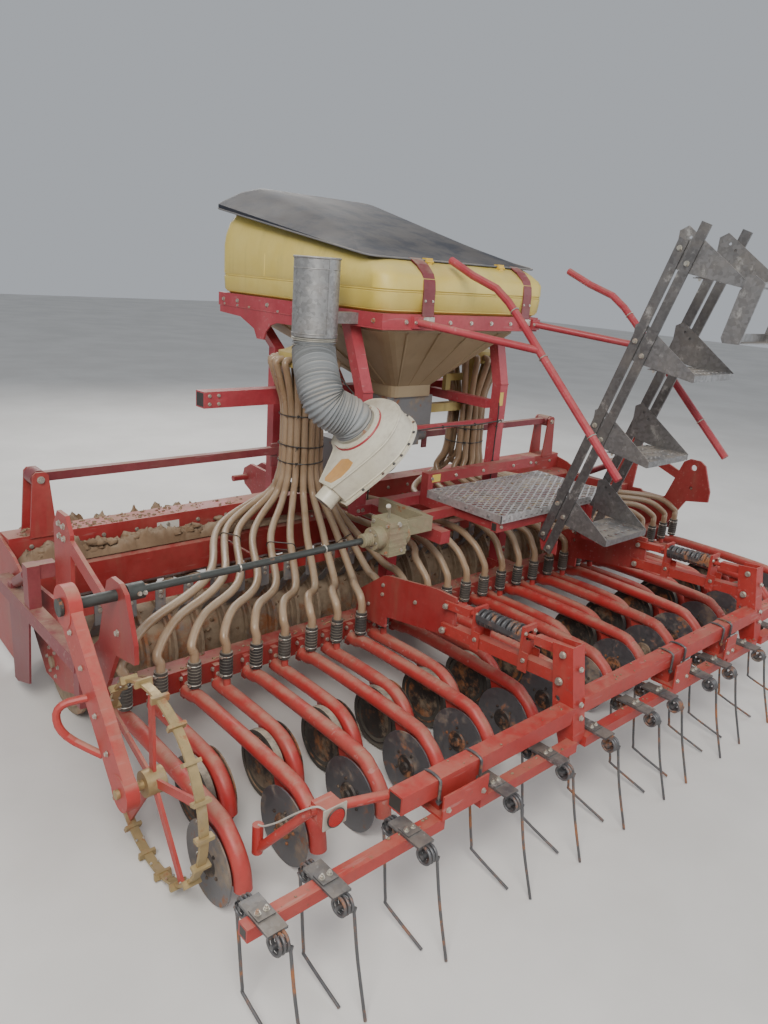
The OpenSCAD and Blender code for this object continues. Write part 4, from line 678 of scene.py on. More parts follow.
# moulded ribs and the seam beads round the tank
bag = Bag("tank_seams", "tank", angle=60)
for dz, ins, back in ((99.5, 4.0, 5), (14, 13.5, 16)):
    edge = rounded(HALF - ins, RAIL_Y0 + 3 + back, TANK_Y1 - ins, 88, 12)
    bag.tube([P(x, y, RAIL_TOP + dz) for x, y in edge], 0.0035, 8, True)
for y, s in product((620, 930, 1240), SIDES):
    x = s * (HALF - 1.5)
    bag.tube([P(x, y, RAIL_TOP + 112), P(x, y, tank_z(y, 0.42) + 4)], 0.005, 8)

# rings of the lid: inset, front edge back, rear edge forward, share of the thickness
LID = [[14, 0, 0, 0], [0, 0, 0, 0.04], [0, 0, 0, 0.16], [30, 14, 60, 0.30], [110, 60, 190, 0.66],
       [165, 100, 260, 0.84], [185, 130, 300, 0.93], [240, 190, 380, 1]]
lid = Bag("lid_moulding", "lid", "lid", 40, "lid_blue", "lid")
lid.skin([[P(x, y, tank_top(y) + 1.3 + share * (14 + 156 * (y - LID_REAR) / (LID_FRONT - LID_REAR)))
           for x, y in rounded(LID_X - ins, LID_REAR + back, LID_FRONT - fr, 60, 8)]
          for ins, fr, back, share in LID])
for x in (-422, 422):
    lid.box(x - 7, x + 7, LID_FRONT - 24, 1774, 2157, 2190)
    for d in (-7, 6.5):
        lid.cyl(P(x + d, HINGE_Y, HINGE_Z), P(x + d + 0.5, HINGE_Y, HINGE_Z), 0.0118, 24)
    lid.box(x - 7, x + 7, 1768.5, 1774, 2139, 2190)
edge = rounded(LID_X - 1, LID_REAR + 1, LID_FRONT - 1, 60, 8)
Bag("lid_edge", "lid_rim", "lid", 50).tube([P(x, y, tank_top(y) + 4) for x, y in edge], 0.0045, 8, True)

bag = Bag("tank_straps", "dark", angle=60)
ROUTE = [(266.5, 1655), (266.5, 1706), (268, 1716), (270, 1752), (269.5, 1802), (270, 1824), (275, 1858), (291, 1894),
         (333, 1932), (374, 1953), (388, 1958)]
for x0, x1 in ((-345, -270), (380, 444)):
    path = [P((x0 + x1) / 2, y, z) for y, z in ROUTE]
    for p, q in zip(path, path[1:]):
        bag.obox((p + q) / 2, X, q - p, ((x1 - x0) / 2000, (q - p).length / 2 + 0.001, 0.0028))
bag = Bag("strap_buckles", "bolt")
for x in (-307, 412):
    for dx in (-26, 26):
        bag.ring(P(x + dx, 264, 1690), Y, 0.009, 0.003, 20, 6)
    bag.box(x - 40, x + 40, 260, 264.5, 1668, 1700)
    bag.bolts(x, 260, 1684, -Y, 0.009)
    bag.bolts((x - 24, x + 24), 267.5, 1772, -Y, 0.006)
catches = Bag("lid_catches", "catch", "lid")
hooks = Bag("lid_hooks", "bolt", "lid")
for x in (-230, 290):
    y, z = LID_REAR, tank_top(LID_REAR)
    catches.box(x - 22, x + 22, y - 9, y + 20, z - 16, z + 15)
    catches.box(x - 14, x + 14, y - 14, y - 8, z - 34, z + 4)
    catches.cyl(P(x - 24, y - 10, z - 2), P(x + 24, y - 10, z - 2), 0.006, 14)
    hooks.tube([P(x + dx, y + dy, z + dz) for dx, dy, dz in (
        (-10, -14, -20), (-10, -16, -46), (0, -17, -54), (10, -16, -46), (10, -14, -20))], 0.0022, 8)
bag = Bag("funnel_ribs", "funnel", angle=60)
for x in (-330, -110, 110, 330):
    bag.tube([P(-30 + x, RAIL_Y0 + 72, 1618), P(x * 0.36, 641, 1316)], 0.007, 8)
for s, t in product(SIDES, (0.25, 0.5, 0.75)):
    y_hi, y_lo = RAIL_Y0 + 72 + (RAIL_Y1 - RAIL_Y0 - 144) * t, 640 + 280 * t
    bag.tube([P(-30 + s * 473, y_hi, 1618), P(s * 150, y_lo, 1312)], 0.007, 8)

# hopper frame, platform and rails
bag = Bag("frame_bolts", "bolt")
for s in SIDES:
    x = -30 + s * 555.2
    bag.bolts(x, (330, 600, 900, 1200, 1500, 1650), 1675, X * s, 0.011)
    bag.bolts(x, (960, 1100, 1380, 1500, 1640), 1650, X * s, 0.007)
bag.bolts((-440, -300, -150, 0, 150, 300, 420), RAIL_Y0, 1675, -Y, 0.010)
bag.bolts((-544, -516, 456, 484), 400, (745, 1128), -Y, 0.010)
bag.bolts((-445, -415, 415, 445), 250, (385, 420, 690), -Y, 0.009)
bag.bolts((-1070, -1020, -560, -400, 340, 560), 942, (1215, 1255), -Y, 0.009)
bag = Bag("frame_welds", "red_rail", angle=70)
for x, z in product((-530, 470), (723, 1335)):
    bag.tube([P(x - 31, 399.5, z), P(x + 31, 399.5, z)], 0.004, 8)
for x in (-POST_X, POST_X):
    bag.tube([P(x - 31, 249.5, 346), P(x + 31, 249.5, 346)], 0.005, 8)
bag.tube([P(-583, 269, 1641), P(523, 269, 1641)], 0.003, 8)
bag.tube([P(-584.5, 275, 1641), P(-584.5, 1705, 1641)], 0.003, 8)


def lattice(bag, x0, x1, y0, y1, z0, z1, dx, dy, strand):
    """Expanded metal: flat strands along both diagonals of diamonds dx long and dy wide, in mm."""
    for sign in SIDES:
        ends = [x / dx + sign * y / dy for x in (x0, x1) for y in (y0, y1)]
        for n in range(ceil(min(ends)), floor(max(ends)) + 1):
            xa, xb = dx * (n - sign * y0 / dy), dx * (n - sign * y1 / dy)
            cuts = sorted(((x0 - xa) / (xb - xa), (x1 - xa) / (xb - xa)))
            t0, t1 = max(0.0, cuts[0]), min(1.0, cuts[1])
            if t1 - t0 > 0.01:
                p, q = (P(xa + (xb - xa) * t, y0 + (y1 - y0) * t, (z0 + z1) / 2 + 0.3 * sign) for t in (t0, t1))
                half = ((q - p).length / 2, strand / 2000, (z1 - z0) / 2000)
                bag.obox((p + q) / 2, q - p, Z.cross(q - p), half)


PX0, PX1, PY0, PY1, PTOP = -130, 800, -170, 340, 815
bag = Bag("platform_grating", "grate", angle=30, slot="zinc", stands_for="platform")
lattice(bag, PX0 + 4, PX1 - 4, PY0 + 4, PY1 - 4, PTOP - 4.6, PTOP - 0.3, 66, 38, 8)
for y in (PY0, PY1 - 4):
    bag.box(PX0, PX1, y, y + 4, PTOP - 40, PTOP)
for x in (PX0, PX1 - 4):
    bag.box(x, x + 4, PY0, PY1, PTOP - 40, PTOP)
bag = Bag("platform_details", "zinc", angle=40)
for k in range(22):
    x = PX0 + 22 + k * 42
    bag.box(x - 9, x + 9, PY0 - 0.8, PY0 + 0.5, PTOP - 30, PTOP - 22)
bag.bolts((PX0 + 60, 180, 700, PX1 - 60), PY0 - 0.3, PTOP - 14, -Y, 0.007)
bag.bolts(PX0 - 0.2, (-90, 60, 250), PTOP - 20, -X, 0.008)

# ladder
LEAN = radians(18.8)
PIVOT, LDIR, LOFF = V(0, -200, 600), V(0, -sin(LEAN), cos(LEAN)), V(0, 44, 61)
STEPS = [190, 640, 1070, 1490]
LX0, LX1 = 240.0, 620.0
CHEEKS = ((LX0, -1), (LX1, 1))
# its two kinds of long bars: name, offset from the pivot, length
BARS = (("bar", V(0, 0, 0), 1690), ("link", LOFF, 1560))
for part, off, length in BARS:
    bag = Bag("ladder_%s_lips" % part, "zinc_dark", "ladder_%ss" % part, 40)
    for (x, s), e in product(CHEEKS, (-20.5, 20.5)):
        c = PIVOT + off + LDIR * (length / 2 - 30) + X.cross(LDIR) * e
        bag.obox(P(x - s * 5, c.y, c.z), X, LDIR, (0.0051, length / 2000, 0.0022))
for part, off, length in BARS:
    bag = Bag("ladder_%s_bolts" % part, "bolt", "ladder_%ss" % part)
    for (x, s), t in product(CHEEKS, [0] + STEPS):
        c = PIVOT + off + LDIR * t
        bag.bolt(P(x + s * 0.3, c.y, c.z), X * s, 0.0115)
for n, t in enumerate(STEPS, 1):
    q = PIVOT + LDIR * t
    body = "ladder_step_%d" % n
    bag = Bag("step_grating_%d" % n, "zinc_step", body, 30)
    for k, j in product(range(9), range(3)):
        bag.ring(P(LX0 + 40 + k * 37.5, q.y - 218 + j * 66, q.z - 51.2), Z, 0.0115, 0.0022, 10, 4)
    for x in (LX0 + 17, LX1 - 31):
        bag.box(x, x + 14, q.y - 250, q.y - 40, q.z - 52, q.z - 48.5)
    bag = Bag("step_bolts_%d" % n, "bolt", body)
    for x, s in CHEEKS:
        bag.bolts(x - s * 16.5, (q.y - 235, q.y - 150, q.y - 60), q.z - 60, X * -s, 0.006)

# handrail rings and clamp bolts
bag = Bag("handrail_clamps", "bolt")
for x, (y, z) in product((-140, 800), ((-110, 1763), (-300, 1580), (-600, 1291))):
    bag.ring(P(x, y, z), V(0, -0.72, -0.69), 0.0195, 0.0028, 24, 6)
bag.bolts((-397, -361, 472, 508), 250, 1675, -Y, 0.008)

# painted shade: thin black sheets in the ends of open tubes, on the platform carrier and front cross tube, and on the
# harrow
bag = Bag("tube_end_painted_shade", "tie")
for y0 in (-150, 150):
    bag.box(-130.4, -129.8, y0 + 6, y0 + 34, 731, 768.7)
bag.box(-1100.4, -1099.9, 949, 1015, 1202, 1268)
# painted shade in the open ends of the rack tubes
bag = Bag("rack_end_painted_shade", "tie", "tine_harrow")
bag.box(-1590.5, -1589.8, -1094, -1046, 408, 456)
for x in (-2120.4, 2120.0):
    bag.box(x, x + 0.4, -1124, -1096, 306, 334)
bag = Bag("beam_bolts", "bolt")
bag.bolts((-100, 80, 300, 560, 720), 340.3, 872, -Y, 0.009)
bag.bolts((-100, 260, 640), -150, 750, -Y, 0.009)

# following harrow
TINE_X = [-2065, -1866, -1560, -1180, -905, -630, -345, -170, 120, 300, 590, 905, 1200, 1560, 1866, 2065]
BACK, BAR, BAR_Y, COIL_Z, WIRE = 1070.0, 40.0, -1130.0, 318, 0.0048
FRONT_Y, ROOT_Y = BAR_Y + BAR + 50, -BACK - 122
COIL_R, COIL_TURNS, COIL_PITCH, COIL_STEPS = 23.0, 3.6, 12.0, 22
tines = Bag("spring_tines", "tine", "tine_harrow", 50, "zinc", "tines")
clamp = Bag("tine_clamps", "zinc_dark", "tine_harrow", 40)
ub = Bag("rack_u_bolts", "tine", "tine_harrow", 50)
nuts = Bag("rack_bolts", "bolt", "tine_harrow")


def coil(x, y, hand, start):
    """Coil that turns by hand from the angle start, and runs from x towards the tine's middle."""
    pts = []
    for k in range(int(COIL_TURNS * COIL_STEPS) + 1):
        a = start + hand * 2 * pi * k / COIL_STEPS
        pts.append(V(x - hand * COIL_PITCH * k / COIL_STEPS, y + COIL_R * cos(a), COIL_Z + COIL_R * sin(a)))
    return pts


for t in TINE_X:
    lean = rng.uniform(-5, 5)
    # rear leg: coil behind the bar, then the long straight tine
    x = t + 18
    leg = [V(x, ROOT_Y - 20, 300), V(x + lean * 0.3, -BACK - 170, 168), V(x + lean, -BACK - 220, 4)]
    path = coil(t - 21, ROOT_Y + 2, -1, radians(60)) + [V(t + 20, ROOT_Y - 22, COIL_Z)] + spline(leg, 5)
    tines.tube(placed(path), WIRE, 9)
    # front leg: coil ahead of the bar, then the kinked tine
    x = t - 18
    leg = [V(x, FRONT_Y + 22, COIL_Z), V(x, FRONT_Y + 4, 200), V(x + lean, FRONT_Y - 17, 74),
           V(x + lean, FRONT_Y - 32, 52), V(x + lean, FRONT_Y - 184, 14)]
    tines.tube(placed(coil(t + 21, FRONT_Y, 1, radians(120)) + spline(leg, 4)), WIRE, 9)
    # clamp plate with two bolts and the bridge over the coils
    clamp.box(t - 30, t + 30, ROOT_Y + 10, FRONT_Y - 8, 340, 348)
    clamp.box(t - 26, t + 26, BAR_Y - 3, BAR_Y + BAR + 3, 348, 352)
    for dx in (-13, 13):
        nuts.bolt(P(t + dx, BAR_Y + 20, 352), Z, 0.0085, 0.006)
        nuts.bolt(P(t + dx, BAR_Y + 20, 299.8), -Z, 0.0075)
    for y in (ROOT_Y + 2, FRONT_Y):
        tines.cyl(P(t - 24, y, COIL_Z), P(t + 24, y, COIL_Z), 0.0075, 12)

# U-bolts round the upper tubes, half of their width from the middle
U_HALF = 36
for x, w, zt in ((-1350, 200, 402), (-40, 120, 424), (390, 90, 424), (1380, 140, 402)):
    for e in (-w / 2 + 9, w / 2 - 9):
        bend = [(-U_HALF * cos(a), 52 + 14 * sin(a)) for a in (pi * k / 8 for k in range(9))]
        path = [(-U_HALF, -24), (-U_HALF, 50)] + bend + [(U_HALF, 50), (U_HALF, -24)]
        ub.tube([P(x + e, -BACK + y, zt + z) for y, z in path], 0.005, 8)
        ub.bolts(x + e, (-BACK - U_HALF, -BACK + U_HALF), zt - 14, -Z, 0.009)
    nuts.bolts((x - w / 2 + 22, x + w / 2 - 22), BAR_Y - 6, 372, -Y, 0.009)
for x in (-LINK_X, LINK_X):
    for z in (420, 470, 600):
        nuts.bolts(x, -1126 + (z - 330) * 0.17, z, -Y, 0.010)
    nuts.both(x, 40.2, -1025, 540, 0.015)
    nuts.both(x, 40.2, -1025, 645, 0.013)
bag = Bag("link_bolts", "bolt", "harrow_links_lower")
for x, y in product((-LINK_X, LINK_X), (-600, -840)):
    z = link_z(y)
    bag.bolts((x - 28, x + 28), y - 6.2, z + 17, -Y, 0.008)
    bag.both(x, 38.2, y - 16, z - 85, 0.009)
# spring round the upper rod, between the hangers
bag = Bag("link_springs", "tine", "harrow_links_lower", 60)
for x in (-LINK_X, LINK_X):
    pts = []
    for k in range(161):
        y, a = -826 + k * 212 / 160, 2 * pi * k / 20
        pts.append(P(x + 30 * cos(a), y, link_z(y) + 30 * sin(a)))
    bag.tube(pts, 0.0062, 8)
bag = Bag("coulter_bar_bolts", "bolt")
for s in SIDES:
    x = s * LINK_X
    bag.both(x, 38.2, -440, 500, 0.014)
    bag.both(x, 32.2, -440, 605, 0.012)
    for y, z in ((-30, 500), (-30, 545), (-240, 540), (60, 420)):
        bag.bolts(x + s * 6.2, y, z, X * s, 0.009)

# reflector on its plate
REFLECTOR_X, REFLECTOR_Z = -1765, 429
Bag("reflector_plate", "beige", "tine_harrow", 40).box(-1806, -1724, -1014, -1010, 396, 462)
Bag("reflector", "lens", "tine_harrow", 50).cyl(P(REFLECTOR_X, -1014, REFLECTOR_Z),
                                                P(REFLECTOR_X, -1021, REFLECTOR_Z), 0.028, 40)
Bag("reflector_rim", "tie", "tine_harrow", 50).ring(P(REFLECTOR_X, -1019, REFLECTOR_Z), Y, 0.029, 0.0025, 40)

# coulters, roller, harrow
START, DISC_R, HUB_R, REAR_Y, NEAR_Y, ARM_R, NECK_R = 63.7, 135.0, 17.0, -670, -350, 0.028, 0.015
LONG = [(START, 272), (START - 20, 272), (START - 50, 273), (-90, 288), (-620, 285), (-730, 255), (-795, 190),
        (-812, 120)]
SHORT = [(START, 258), (START - 20, 258), (START - 50, 258), (-70, 262), (-330, 262), (-430, 235), (-485, 175),
         (-498, 120)]


def skirt(bag, x, yc):
    """Plate beside a disc, with a hole round the hub."""
    edge = [V(y, z - DISC_R) for y, z in ((120, 268), (-110, 240), (-130, 103), (-30, 83), (60, 103))]
    turns = sorted([atan2(q.y, q.x) for q in edge] + [2 * pi * k / 24 - pi for k in range(24)])
    outer, inner = [], []
    for a in turns:
        d = V(cos(a), sin(a))
        reach = []
        for p, q in zip(edge, edge[1:] + edge[:1]):
            n = V(q.y - p.y, p.x - q.x)
            if d.dot(n) * p.dot(n) > 1e-9:
                reach.append(p.dot(n) / d.dot(n))
        outer.append(d * min(reach))
        inner.append(d * HUB_R)
    bag.skin([[P(x + e, yc + q.x, DISC_R + q.y) for q in line]
              for e, line in ((-5, outer), (5, outer), (5, inner), (-5, inner), (-5, outer))], False)


for kind, rows, path, yc in (("long", LONG_ROWS, LONG, REAR_Y), ("short", SHORT_ROWS, SHORT, NEAR_Y)):
    bag = Bag("coulter_arms_" + kind, "arm", angle=50, slot="red_paint", stands_for="arms_" + kind)
    for x in map(row_x, rows):
        bag.tube([P(x, q.x, q.y) for q in spline([V(*q) for q in path], 5)], ARM_R, 24)
        bag.tube([P(x, -8, 280), P(x, 0, 348)], NECK_R, 20)
        skirt(bag, x, yc)
bag = Bag("coulter_bolts", "bolt")
bands = Bag("boot_bands", "bolt", angle=60)
rubber = Bag("boot_ribs", "black", angle=60)
for i in ALL_ROWS:
    x, yc = row_x(i), REAR_Y if i % 2 else NEAR_Y
    bag.bolts(x, 63.6, 300, -Y, 0.009)
    bag.both(x, 14.2, 78, 318, 0.010)
    bag.both(x, 14.2, 78, 268, 0.008)
    for y, z in ((62, 225), (-70, 222), (50, 125), (-75, 125)):
        bag.both(x, 5.2, yc + y, z, 0.0065)
    for z in (332, 412):
        bands.ring(P(x, 0, z), Z, 0.0256, 0.0018, 28, 6)
        bands.obox(P(x - 27, -8, z), Y, X, (0.008, 0.004, 0.004))
    for k in range(5):
        rubber.ring(P(x, 0, 346 + k * 13), Z, 0.0252, 0.0022, 28, 6)
# rear hubs take the darker disc steel, whose dark tone is painted shade with rust
for rows, kind, mat, s, yc in ((LONG_ROWS, "rear", "disc_rust_and_shade", -1, REAR_Y),
                               (SHORT_ROWS, "front", "bolt", 1, NEAR_Y)):
    hubs = Bag(kind + "_hub_details", mat, kind + "_discs")
    worn = Bag(kind + "_disc_edges", "bolt", kind + "_discs", 60)
    for i in rows:
        x = row_x(i) + s * 39
        for a, b, r, sides, r2 in ((0, 7, 0.044, 32, 0.040), (6, 16, 0.021, 24, 0.018)):
            hubs.cyl(P(x + s * a, yc, DISC_R), P(x + s * b, yc, DISC_R), r, sides, r2)
        for y, z in circle(5, 58, i):
            hubs.bolts(x + s * 0.2, yc + y, DISC_R + z, X * s, 0.006)
        worn.ring(P(x - s * 2.5, yc, DISC_R), X, 0.1325, 0.0024, 64, 5)
# depth wheel rims in the darker disc steel, whose dark tone is painted shade with rust
bag = Bag("depth_wheel_rims", "disc_rust_and_shade", "front_discs", 40)
for i, (dx, s) in product(SHORT_ROWS, ((-60, -1), (-34, 1))):
    x = row_x(i) + dx
    bag.cyl(P(x, NEAR_Y, DISC_R), P(x + s * 2, NEAR_Y, DISC_R), 0.088, 40, 0.084)
    bag.ring(P(x, NEAR_Y, DISC_R), X, 0.108, 0.004, 40, 6)

# scrapers between the roller's rings, held by the scraper bar
bag = Bag("roller_scrapers", "cast", angle=40)
nuts = Bag("scraper_bolts", "bolt")
ROLLER_Y, ROLLER_Z, GAPS = 620, 240, [(k / 30 - 0.5) * 2 * 1920 + 64 for k in range(30)]
for x in GAPS:
    bag.box(x - 22, x + 22, 394, 400, 470, 566)
    bag.obox(P(x, 441, 432), X, V(0, 74, -96), (0.022, 0.061, 0.003))
    nuts.bolts(x, 394, (532, 556), -Y, 0.008)
bag = Bag("harrow_bolts", "bolt")
xs = tuple(-1900 + k * 165 for k in range(24))
bag.bolts(xs, (951, 1296), 538, Z, 0.008)
bag.bolts(xs, 1049.6, 600, -Y, 0.010)
for s in SIDES:
    x = s * 1976.5
    bag.bolts(x, (405, 450), (900, 850), X * s, 0.012)
    bag.bolts(x, -60, 655, X * s, 0.012)
    bag.bolts(x, 880, (460, 420), X * s, 0.012)
    for y, z in circle(6, 62):
        bag.bolts(x, ROLLER_Y + y, ROLLER_Z + z, X * s, 0.009)
    for y, z in ((920, 500), (1000, 480), (1100, 460), (1250, 430), (920, 400), (1280, 380)):
        bag.bolts(s * 2007.2, y, z, X * s, 0.011)
for e in SIDES:
    bag.bolts((-1845, 1845), 1105 + e * 64, 905, Y * e, 0.016)
bag = Bag("rotor_caps", "cast", angle=50)
for k in range(16):
    x = (k - 7.5) * 250
    bag.cyl(P(x, 1270, 540), P(x, 1270, 552), 0.045, 28, 0.04)
    bag.cyl(P(x, 1270, 552), P(x, 1270, 560), 0.018)

# metering drive and drive wheel
DRIVE_Y, DRIVE_Z = -55.0, 793.0
bag = Bag("drive_bolts", "bolt")
for x, axis in ((-800.2, -X), (-699.8, X)):
    bag.bolts(x, (DRIVE_Y - 46, DRIVE_Y + 46), (DRIVE_Z - 60, DRIVE_Z + 62), axis, 0.009)
for y, z in circle(6, 36, 0.3):
    bag.bolts(-850.2, DRIVE_Y + y, DRIVE_Z + z, -X, 0.006)
bag.bolts(-750, DRIVE_Y - 62, 860, -Y, 0.012)
bag.bolts(-730, DRIVE_Y - 62, 740, -Y, 0.008)
for x in (-1500, -1100):
    bag.ring(P(x, DRIVE_Y, DRIVE_Z), X, 0.0155, 0.0035, 24)
bag.bolts((-1905, -1885), DRIVE_Y - 30, DRIVE_Z, -Y, 0.008)
bag = Bag("drive_ribs", "khaki", angle=40)
for z in range(730, 851, 30):
    bag.box(-802.5, -697.5, DRIVE_Y - 64.5, DRIVE_Y - 61, z, z + 9)
bag.cyl(P(-905, DRIVE_Y, DRIVE_Z), P(-850, DRIVE_Y, DRIVE_Z), 0.027, 24)
for x in range(-898, -858, 13):
    bag.ring(P(x, DRIVE_Y, DRIVE_Z), X, 0.0275, 0.003, 28)
bag = Bag("drive_lever", "bolt", angle=50)
bag.tube([P(-760, DRIVE_Y, 873), P(-762, DRIVE_Y - 8, 900), P(-790, DRIVE_Y - 30, 935)], 0.006, 10)
bag.cyl(P(-786, DRIVE_Y - 27, 930), P(-796, DRIVE_Y - 35, 943), 0.011, 14)
bag = Bag("wheel_bolts", "bolt", "drive_wheel")
for y, z in circle(18, 309, pi / 18):
    for e in (-12, 12):
        bag.bolt(P(WX + e, WY + y, WZ + z), -V(0, y, z).normalized(), 0.004)
for y, z in circle(5, 34, 0.5):
    bag.both(WX, 27, WY + y, WZ + z, 0.006)
bag = Bag("arm_bolts", "bolt", "wheel_arm")
for y, z in ((-120, 730), (-200, 640), (-300, 520), (-380, 430)):
    bag.bolts(-2154.3, y, z, -X, 0.009)

# cords held along their whole way: material, body, radius in metres and route
CORDS = {
    "rack_cable": ("cable", "tine_harrow", 0.003, [
        (-1790, -1008, 452), (-1816, -990, 470), (-1838, -930, 420), (-1850, -860, 350), (-1858, -800, 300),
        (-1861, -775, 290)]),
    "sensor_cable_left": ("tie", "chassis", 0.0035, [
        (-620, 670, 1440), (-600, 560, 1400), (-540, 470, 1300), (-500, 396, 1220), (-494, 395, 1000),
        (-492, 396, 800)]),
    "sensor_cable_right": ("tie", "chassis", 0.0035, [
        (620, 670, 1440), (560, 560, 1390), (480, 470, 1300), (440, 398, 1220), (436, 396, 1000), (436, 396, 790)]),
    "shaft_cable": ("tie", "chassis", 0.004, [
        (-640, 395, 1150), (-560, 394, 1128), (-300, 394, 1124), (0, 394, 1130), (250, 393, 1124), (470, 394, 1132)]),
    "meter_cable": ("tie", "chassis", 0.004, [
        (-100, 662, 1030), (-140, 560, 980), (-300, 430, 930), (-470, 397, 890), (-494, 396, 840)]),
    "oil_line_a": ("tie", "chassis", 0.0075, [
        (-380, 1300, 560), (-400, 1276, 700), (-404, 1272, 900), (-405, 1272, 1180), (-380, 1240, 1240),
        (-200, 1100, 1240)]),
    "oil_line_b": ("tie", "chassis", 0.0075, [
        (-360, 1300, 560), (-382, 1274, 700), (-386, 1270, 900), (-388, 1270, 1150), (-330, 1180, 1210),
        (-120, 1040, 1200)])}
for name, (mat, body, r, route) in CORDS.items():
    Bag(name, mat, body, 60).tube(spline(placed(route), 8), r, 8)
bag = Bag("cable_ties", "tie")
for x, y, z, axis in ((-494, 396, 1100, Z), (-493, 396, 900, Z), (437, 397, 1100, Z), (437, 397, 900, Z),
                      (-560, 394, 1128, X), (0, 394, 1130, X), (250, 393, 1125, X)):
    bag.ring(P(x, y, z), axis, 0.0075, 0.0022, 16, 6)

# blank labels
bag = Bag("labels_yellow", "label")
bag.box(442, 470, 398.4, 399.9, 1215, 1290)
bag.box(-100, -40, 339.4, 340.2, 852, 892)
bag.box(-586.2, -585.1, 480, 560, 1655, 1695)
bag = Bag("labels_white", "white")
bag.box(-90, 10, 1049.2, 1049.9, 570, 610)
bag.box(-1300, -1180, 1049.2, 1049.9, 575, 615)
bag.box(330, 350, 249.0, 249.9, 600, 640)


# soil, straw and small dirt
def clod(bag, c, size, seed):
    """An irregular lump, flat below."""
    nu, nv = 9, 6
    verts, faces = [], []
    for j in range(nv + 1):
        ph = pi * (j / nv - 0.5)
        for i in range(nu):
            th = 2 * pi * i / nu
            d = V(cos(ph) * cos(th), cos(ph) * sin(th), sin(ph))
            r = size * (0.75 + 0.55 * noise.noise(d * 1.7 + V(seed, seed * 0.7, 0)))
            verts.append(c + V(d.x * r * 1.25, d.y * r, max(d.z * r * 0.75, -size * 0.2)))
    for j, i in product(range(nv), range(nu)):
        k = (i + 1) % nu
        faces.append((j * nu + i, j * nu + k, (j + 1) * nu + k, (j + 1) * nu + i))
    bag.add(verts, faces)


bag = Bag("soil_heap", "soil", angle=80)
NX, NY = 150, 12
for y0, y1, top in ((936, 1046, 95), (1174, 1318, 120)):
    verts = []
    for i, j in product(range(NX + 1), range(NY + 1)):
        x, y = -1975 + i * 10, y0 + (y1 - y0) * j / NY
        q = V(x, y, 0)
        h = sin(pi * j / NY) ** 0.6 * top * max(0.0, min(1.0, (-560 - x) / 700, (x + 1990) / 60))
        lump = abs(noise.noise(q * 0.013)) * 1.1 + abs(noise.noise(q * 0.035 + V(9, 0, 0))) * 0.5
        verts.append(P(x, y, 540.5 + h * (0.35 + lump + 0.18 * noise.noise(q * 0.11))))
    row = NY + 1
    bag.add(verts, [(i * row + j, (i + 1) * row + j, (i + 1) * row + j + 1, i * row + j + 1)
                    for i in range(NX) for j in range(NY)])
for n in range(60):
    x = rng.uniform(-1930, -800)
    y = rng.choice((rng.uniform(960, 1030), rng.uniform(1190, 1300)))
    clod(bag, P(x, y, 560 + rng.uniform(0, 40)), rng.uniform(0.02, 0.042), n * 5.1)
bag = Bag("soil_on_trough", "soil", angle=70)
for n in range(420):
    x = -1960 + abs(rng.gauss(0, 1)) * 620
    if x > 1900 or n % 7 == 0:
        x = rng.uniform(-1950, 1950)
    front = rng.random() < 0.45
    y = rng.uniform(1175, 1295) if front else rng.uniform(960, 1045)
    clod(bag, P(x, y, 541), rng.uniform(0.004, 0.017) * (1.35 if x < -900 else 0.8), n * 1.3)
for n in range(160):
    x = -1950 + abs(rng.gauss(0, 1)) * 700
    if x < 1900:
        clod(bag, P(x, rng.uniform(1058, 1160), 651), rng.uniform(0.003, 0.011), n * 2.1)
for n in range(150):
    x, y = rng.uniform(-1950, 1950), rng.uniform(95, 175)
    clod(bag, P(x, y, 345.5), rng.uniform(0.003, 0.009), n * 3.7)
for n in range(60):
    x, y = rng.uniform(-110, 780), rng.uniform(-150, 330)
    clod(bag, P(x, y, PTOP + 0.5), rng.uniform(0.002, 0.006), n * 0.7)
bag = Bag("soil_on_rack", "soil", "tine_harrow", 70)
for n in range(90):
    x, y = rng.uniform(-2100, 2100), rng.uniform(BAR_Y + 4, BAR_Y + 36)
    clod(bag, P(x, y, 340.5), rng.uniform(0.002, 0.007), n)
for n in range(60):
    x = rng.uniform(-1560, 1560)
    if abs(abs(x) - LINK_X) > 50:
        z = 484.5 if abs(x) < 700 else 462.5
        clod(bag, P(x, rng.uniform(-1094, -1046), z), rng.uniform(0.002, 0.006), n + 50)
bag = Bag("soil_on_roller", "soil", "packer_roller", 70)
for n in range(520):
    x = GAPS[rng.randrange(30)] + rng.uniform(-38, 38)
    a = rng.uniform(0, 2 * pi)
    c = P(x, ROLLER_Y + 184 * cos(a), ROLLER_Z + 184 * sin(a))
    first = len(bag.v)
    clod(bag, V(0, 0, 0), rng.uniform(0.005, 0.015), n * 0.9)
    turn = Matrix.Rotation(a - pi / 2, 3, "X")
    bag.v[first:] = [tuple(turn @ Vector(v) + c) for v in bag.v[first:]]
bag = Bag("straw_bits", "straw", angle=60)
SPOTS = [((-1950, 1950), (955, 1300), (541, 545)), ((-1900, 1900), (1055, 1165), (651, 654)),
         ((-1900, 1900), (95, 178), (346, 349)), ((-120, 790), (-160, 330), (816, 818))]
for n in range(260):
    c = Vector([rng.uniform(*span) for span in SPOTS[n % 4]])
    if 1045 < c.y < 1175 and c.z < 600:
        c.y = rng.uniform(960, 1040)
    a, length = rng.uniform(0, pi), rng.uniform(12, 42)
    d = V(cos(a), sin(a) * 0.5, rng.uniform(-0.03, 0.1)) * length / 2
    bag.tube(placed([c - d, c + Z * rng.uniform(0, 2), c + d]), 0.0012, 5)
for bag in Bag.made:
    bag.put()

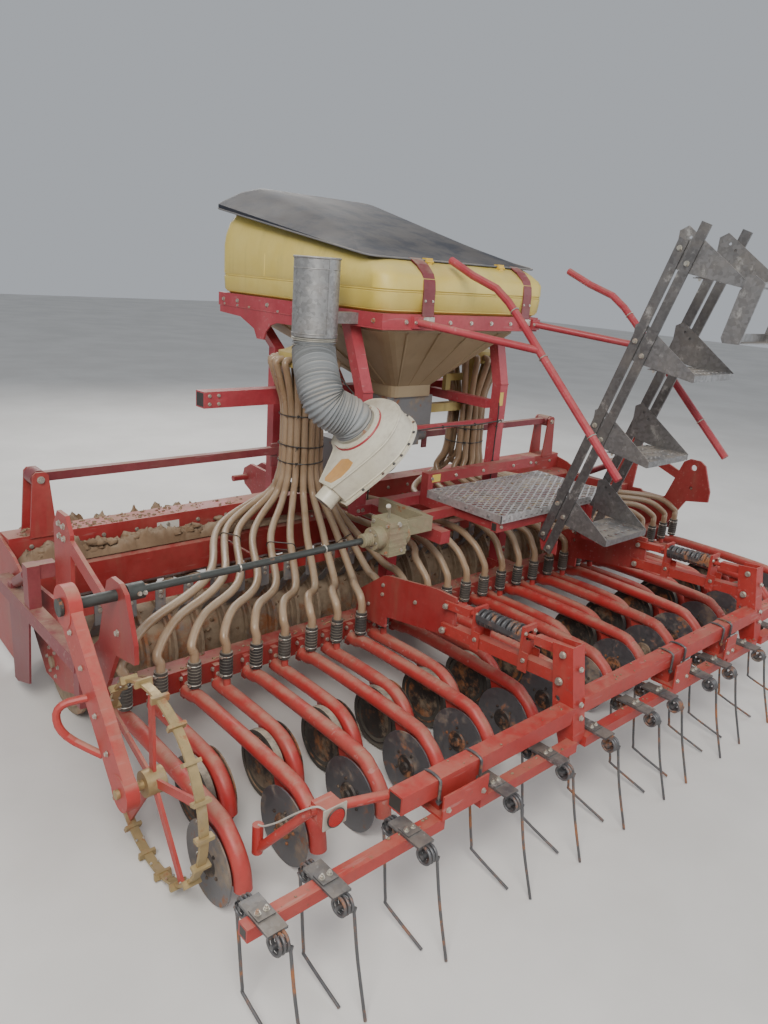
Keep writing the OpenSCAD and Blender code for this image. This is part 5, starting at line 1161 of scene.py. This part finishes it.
# camera, floor and light
FOCUS, FRAME = 776.73, 1024.0
cam_data = bpy.data.cameras.new("photo_camera")
cam = bpy.data.objects.new("photo_camera", cam_data)
bpy.context.scene.collection.objects.link(cam)
cam_data.sensor_fit = "AUTO"
cam_data.sensor_width = 36.0
cam_data.lens = 36.0 * FOCUS / FRAME
az, el, roll = (radians(v) for v in (-42.517, 17.248, 4.281))
back = V(sin(az) * cos(el), -cos(az) * cos(el), sin(el))
right0 = V(cos(az), sin(az), 0.0)
up0 = back.cross(right0)
right = cos(roll) * right0 + sin(roll) * up0
up = -sin(roll) * right0 + cos(roll) * up0
cam.matrix_world = Matrix.Translation(P(-2942, -2405, 1895)) @ Matrix((right, up, back)).transposed().to_4x4()
bpy.context.scene.camera = cam

bpy.ops.mesh.primitive_plane_add(size=60, location=(0, 0, -0.001))
ground = bpy.context.object
ground.name = "floor"
k = Look("floor_pale")
tone = k.mix(k.step(k.noise(0.9, 5, 0.6), 0.3, 0.7), (0.60, 0.585, 0.56), (0.68, 0.665, 0.64))
ground.data.materials.append(k.put(tone, 0.85, 0.0, k.bump(k.noise(60, 4, 0.6), 0.1, 0.001)))
ground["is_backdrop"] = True

world = bpy.data.worlds.new("soft_sky")
bpy.context.scene.world = world
world.use_nodes = True
sky = world.node_tree.nodes["Background"].inputs
sky[0].default_value = (0.88, 0.93, 1.0, 1)
sky[1].default_value = 0.48


def area(name, at, aim, size, energy, tint):
    data = bpy.data.lights.new(name, "AREA")
    data.energy, data.size, data.color = energy, size, tint
    o = bpy.data.objects.new(name, data)
    o.location = at
    o.rotation_euler = (Vector(aim) - Vector(at)).to_track_quat("-Z", "Y").to_euler()
    bpy.context.scene.collection.objects.link(o)


area("key", (-4.2, -3.6, 5.2), (0, 0, 0.8), 3.2, 430, (1.0, 0.96, 0.9))
area("fill", (4.5, -4.0, 3.0), (0, 0, 0.8), 4.0, 130, (0.9, 0.95, 1.0))
area("rim", (1.5, 5.5, 5.0), (0, 0, 1.0), 4.0, 360, (1.0, 0.98, 0.95))

low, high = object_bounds()
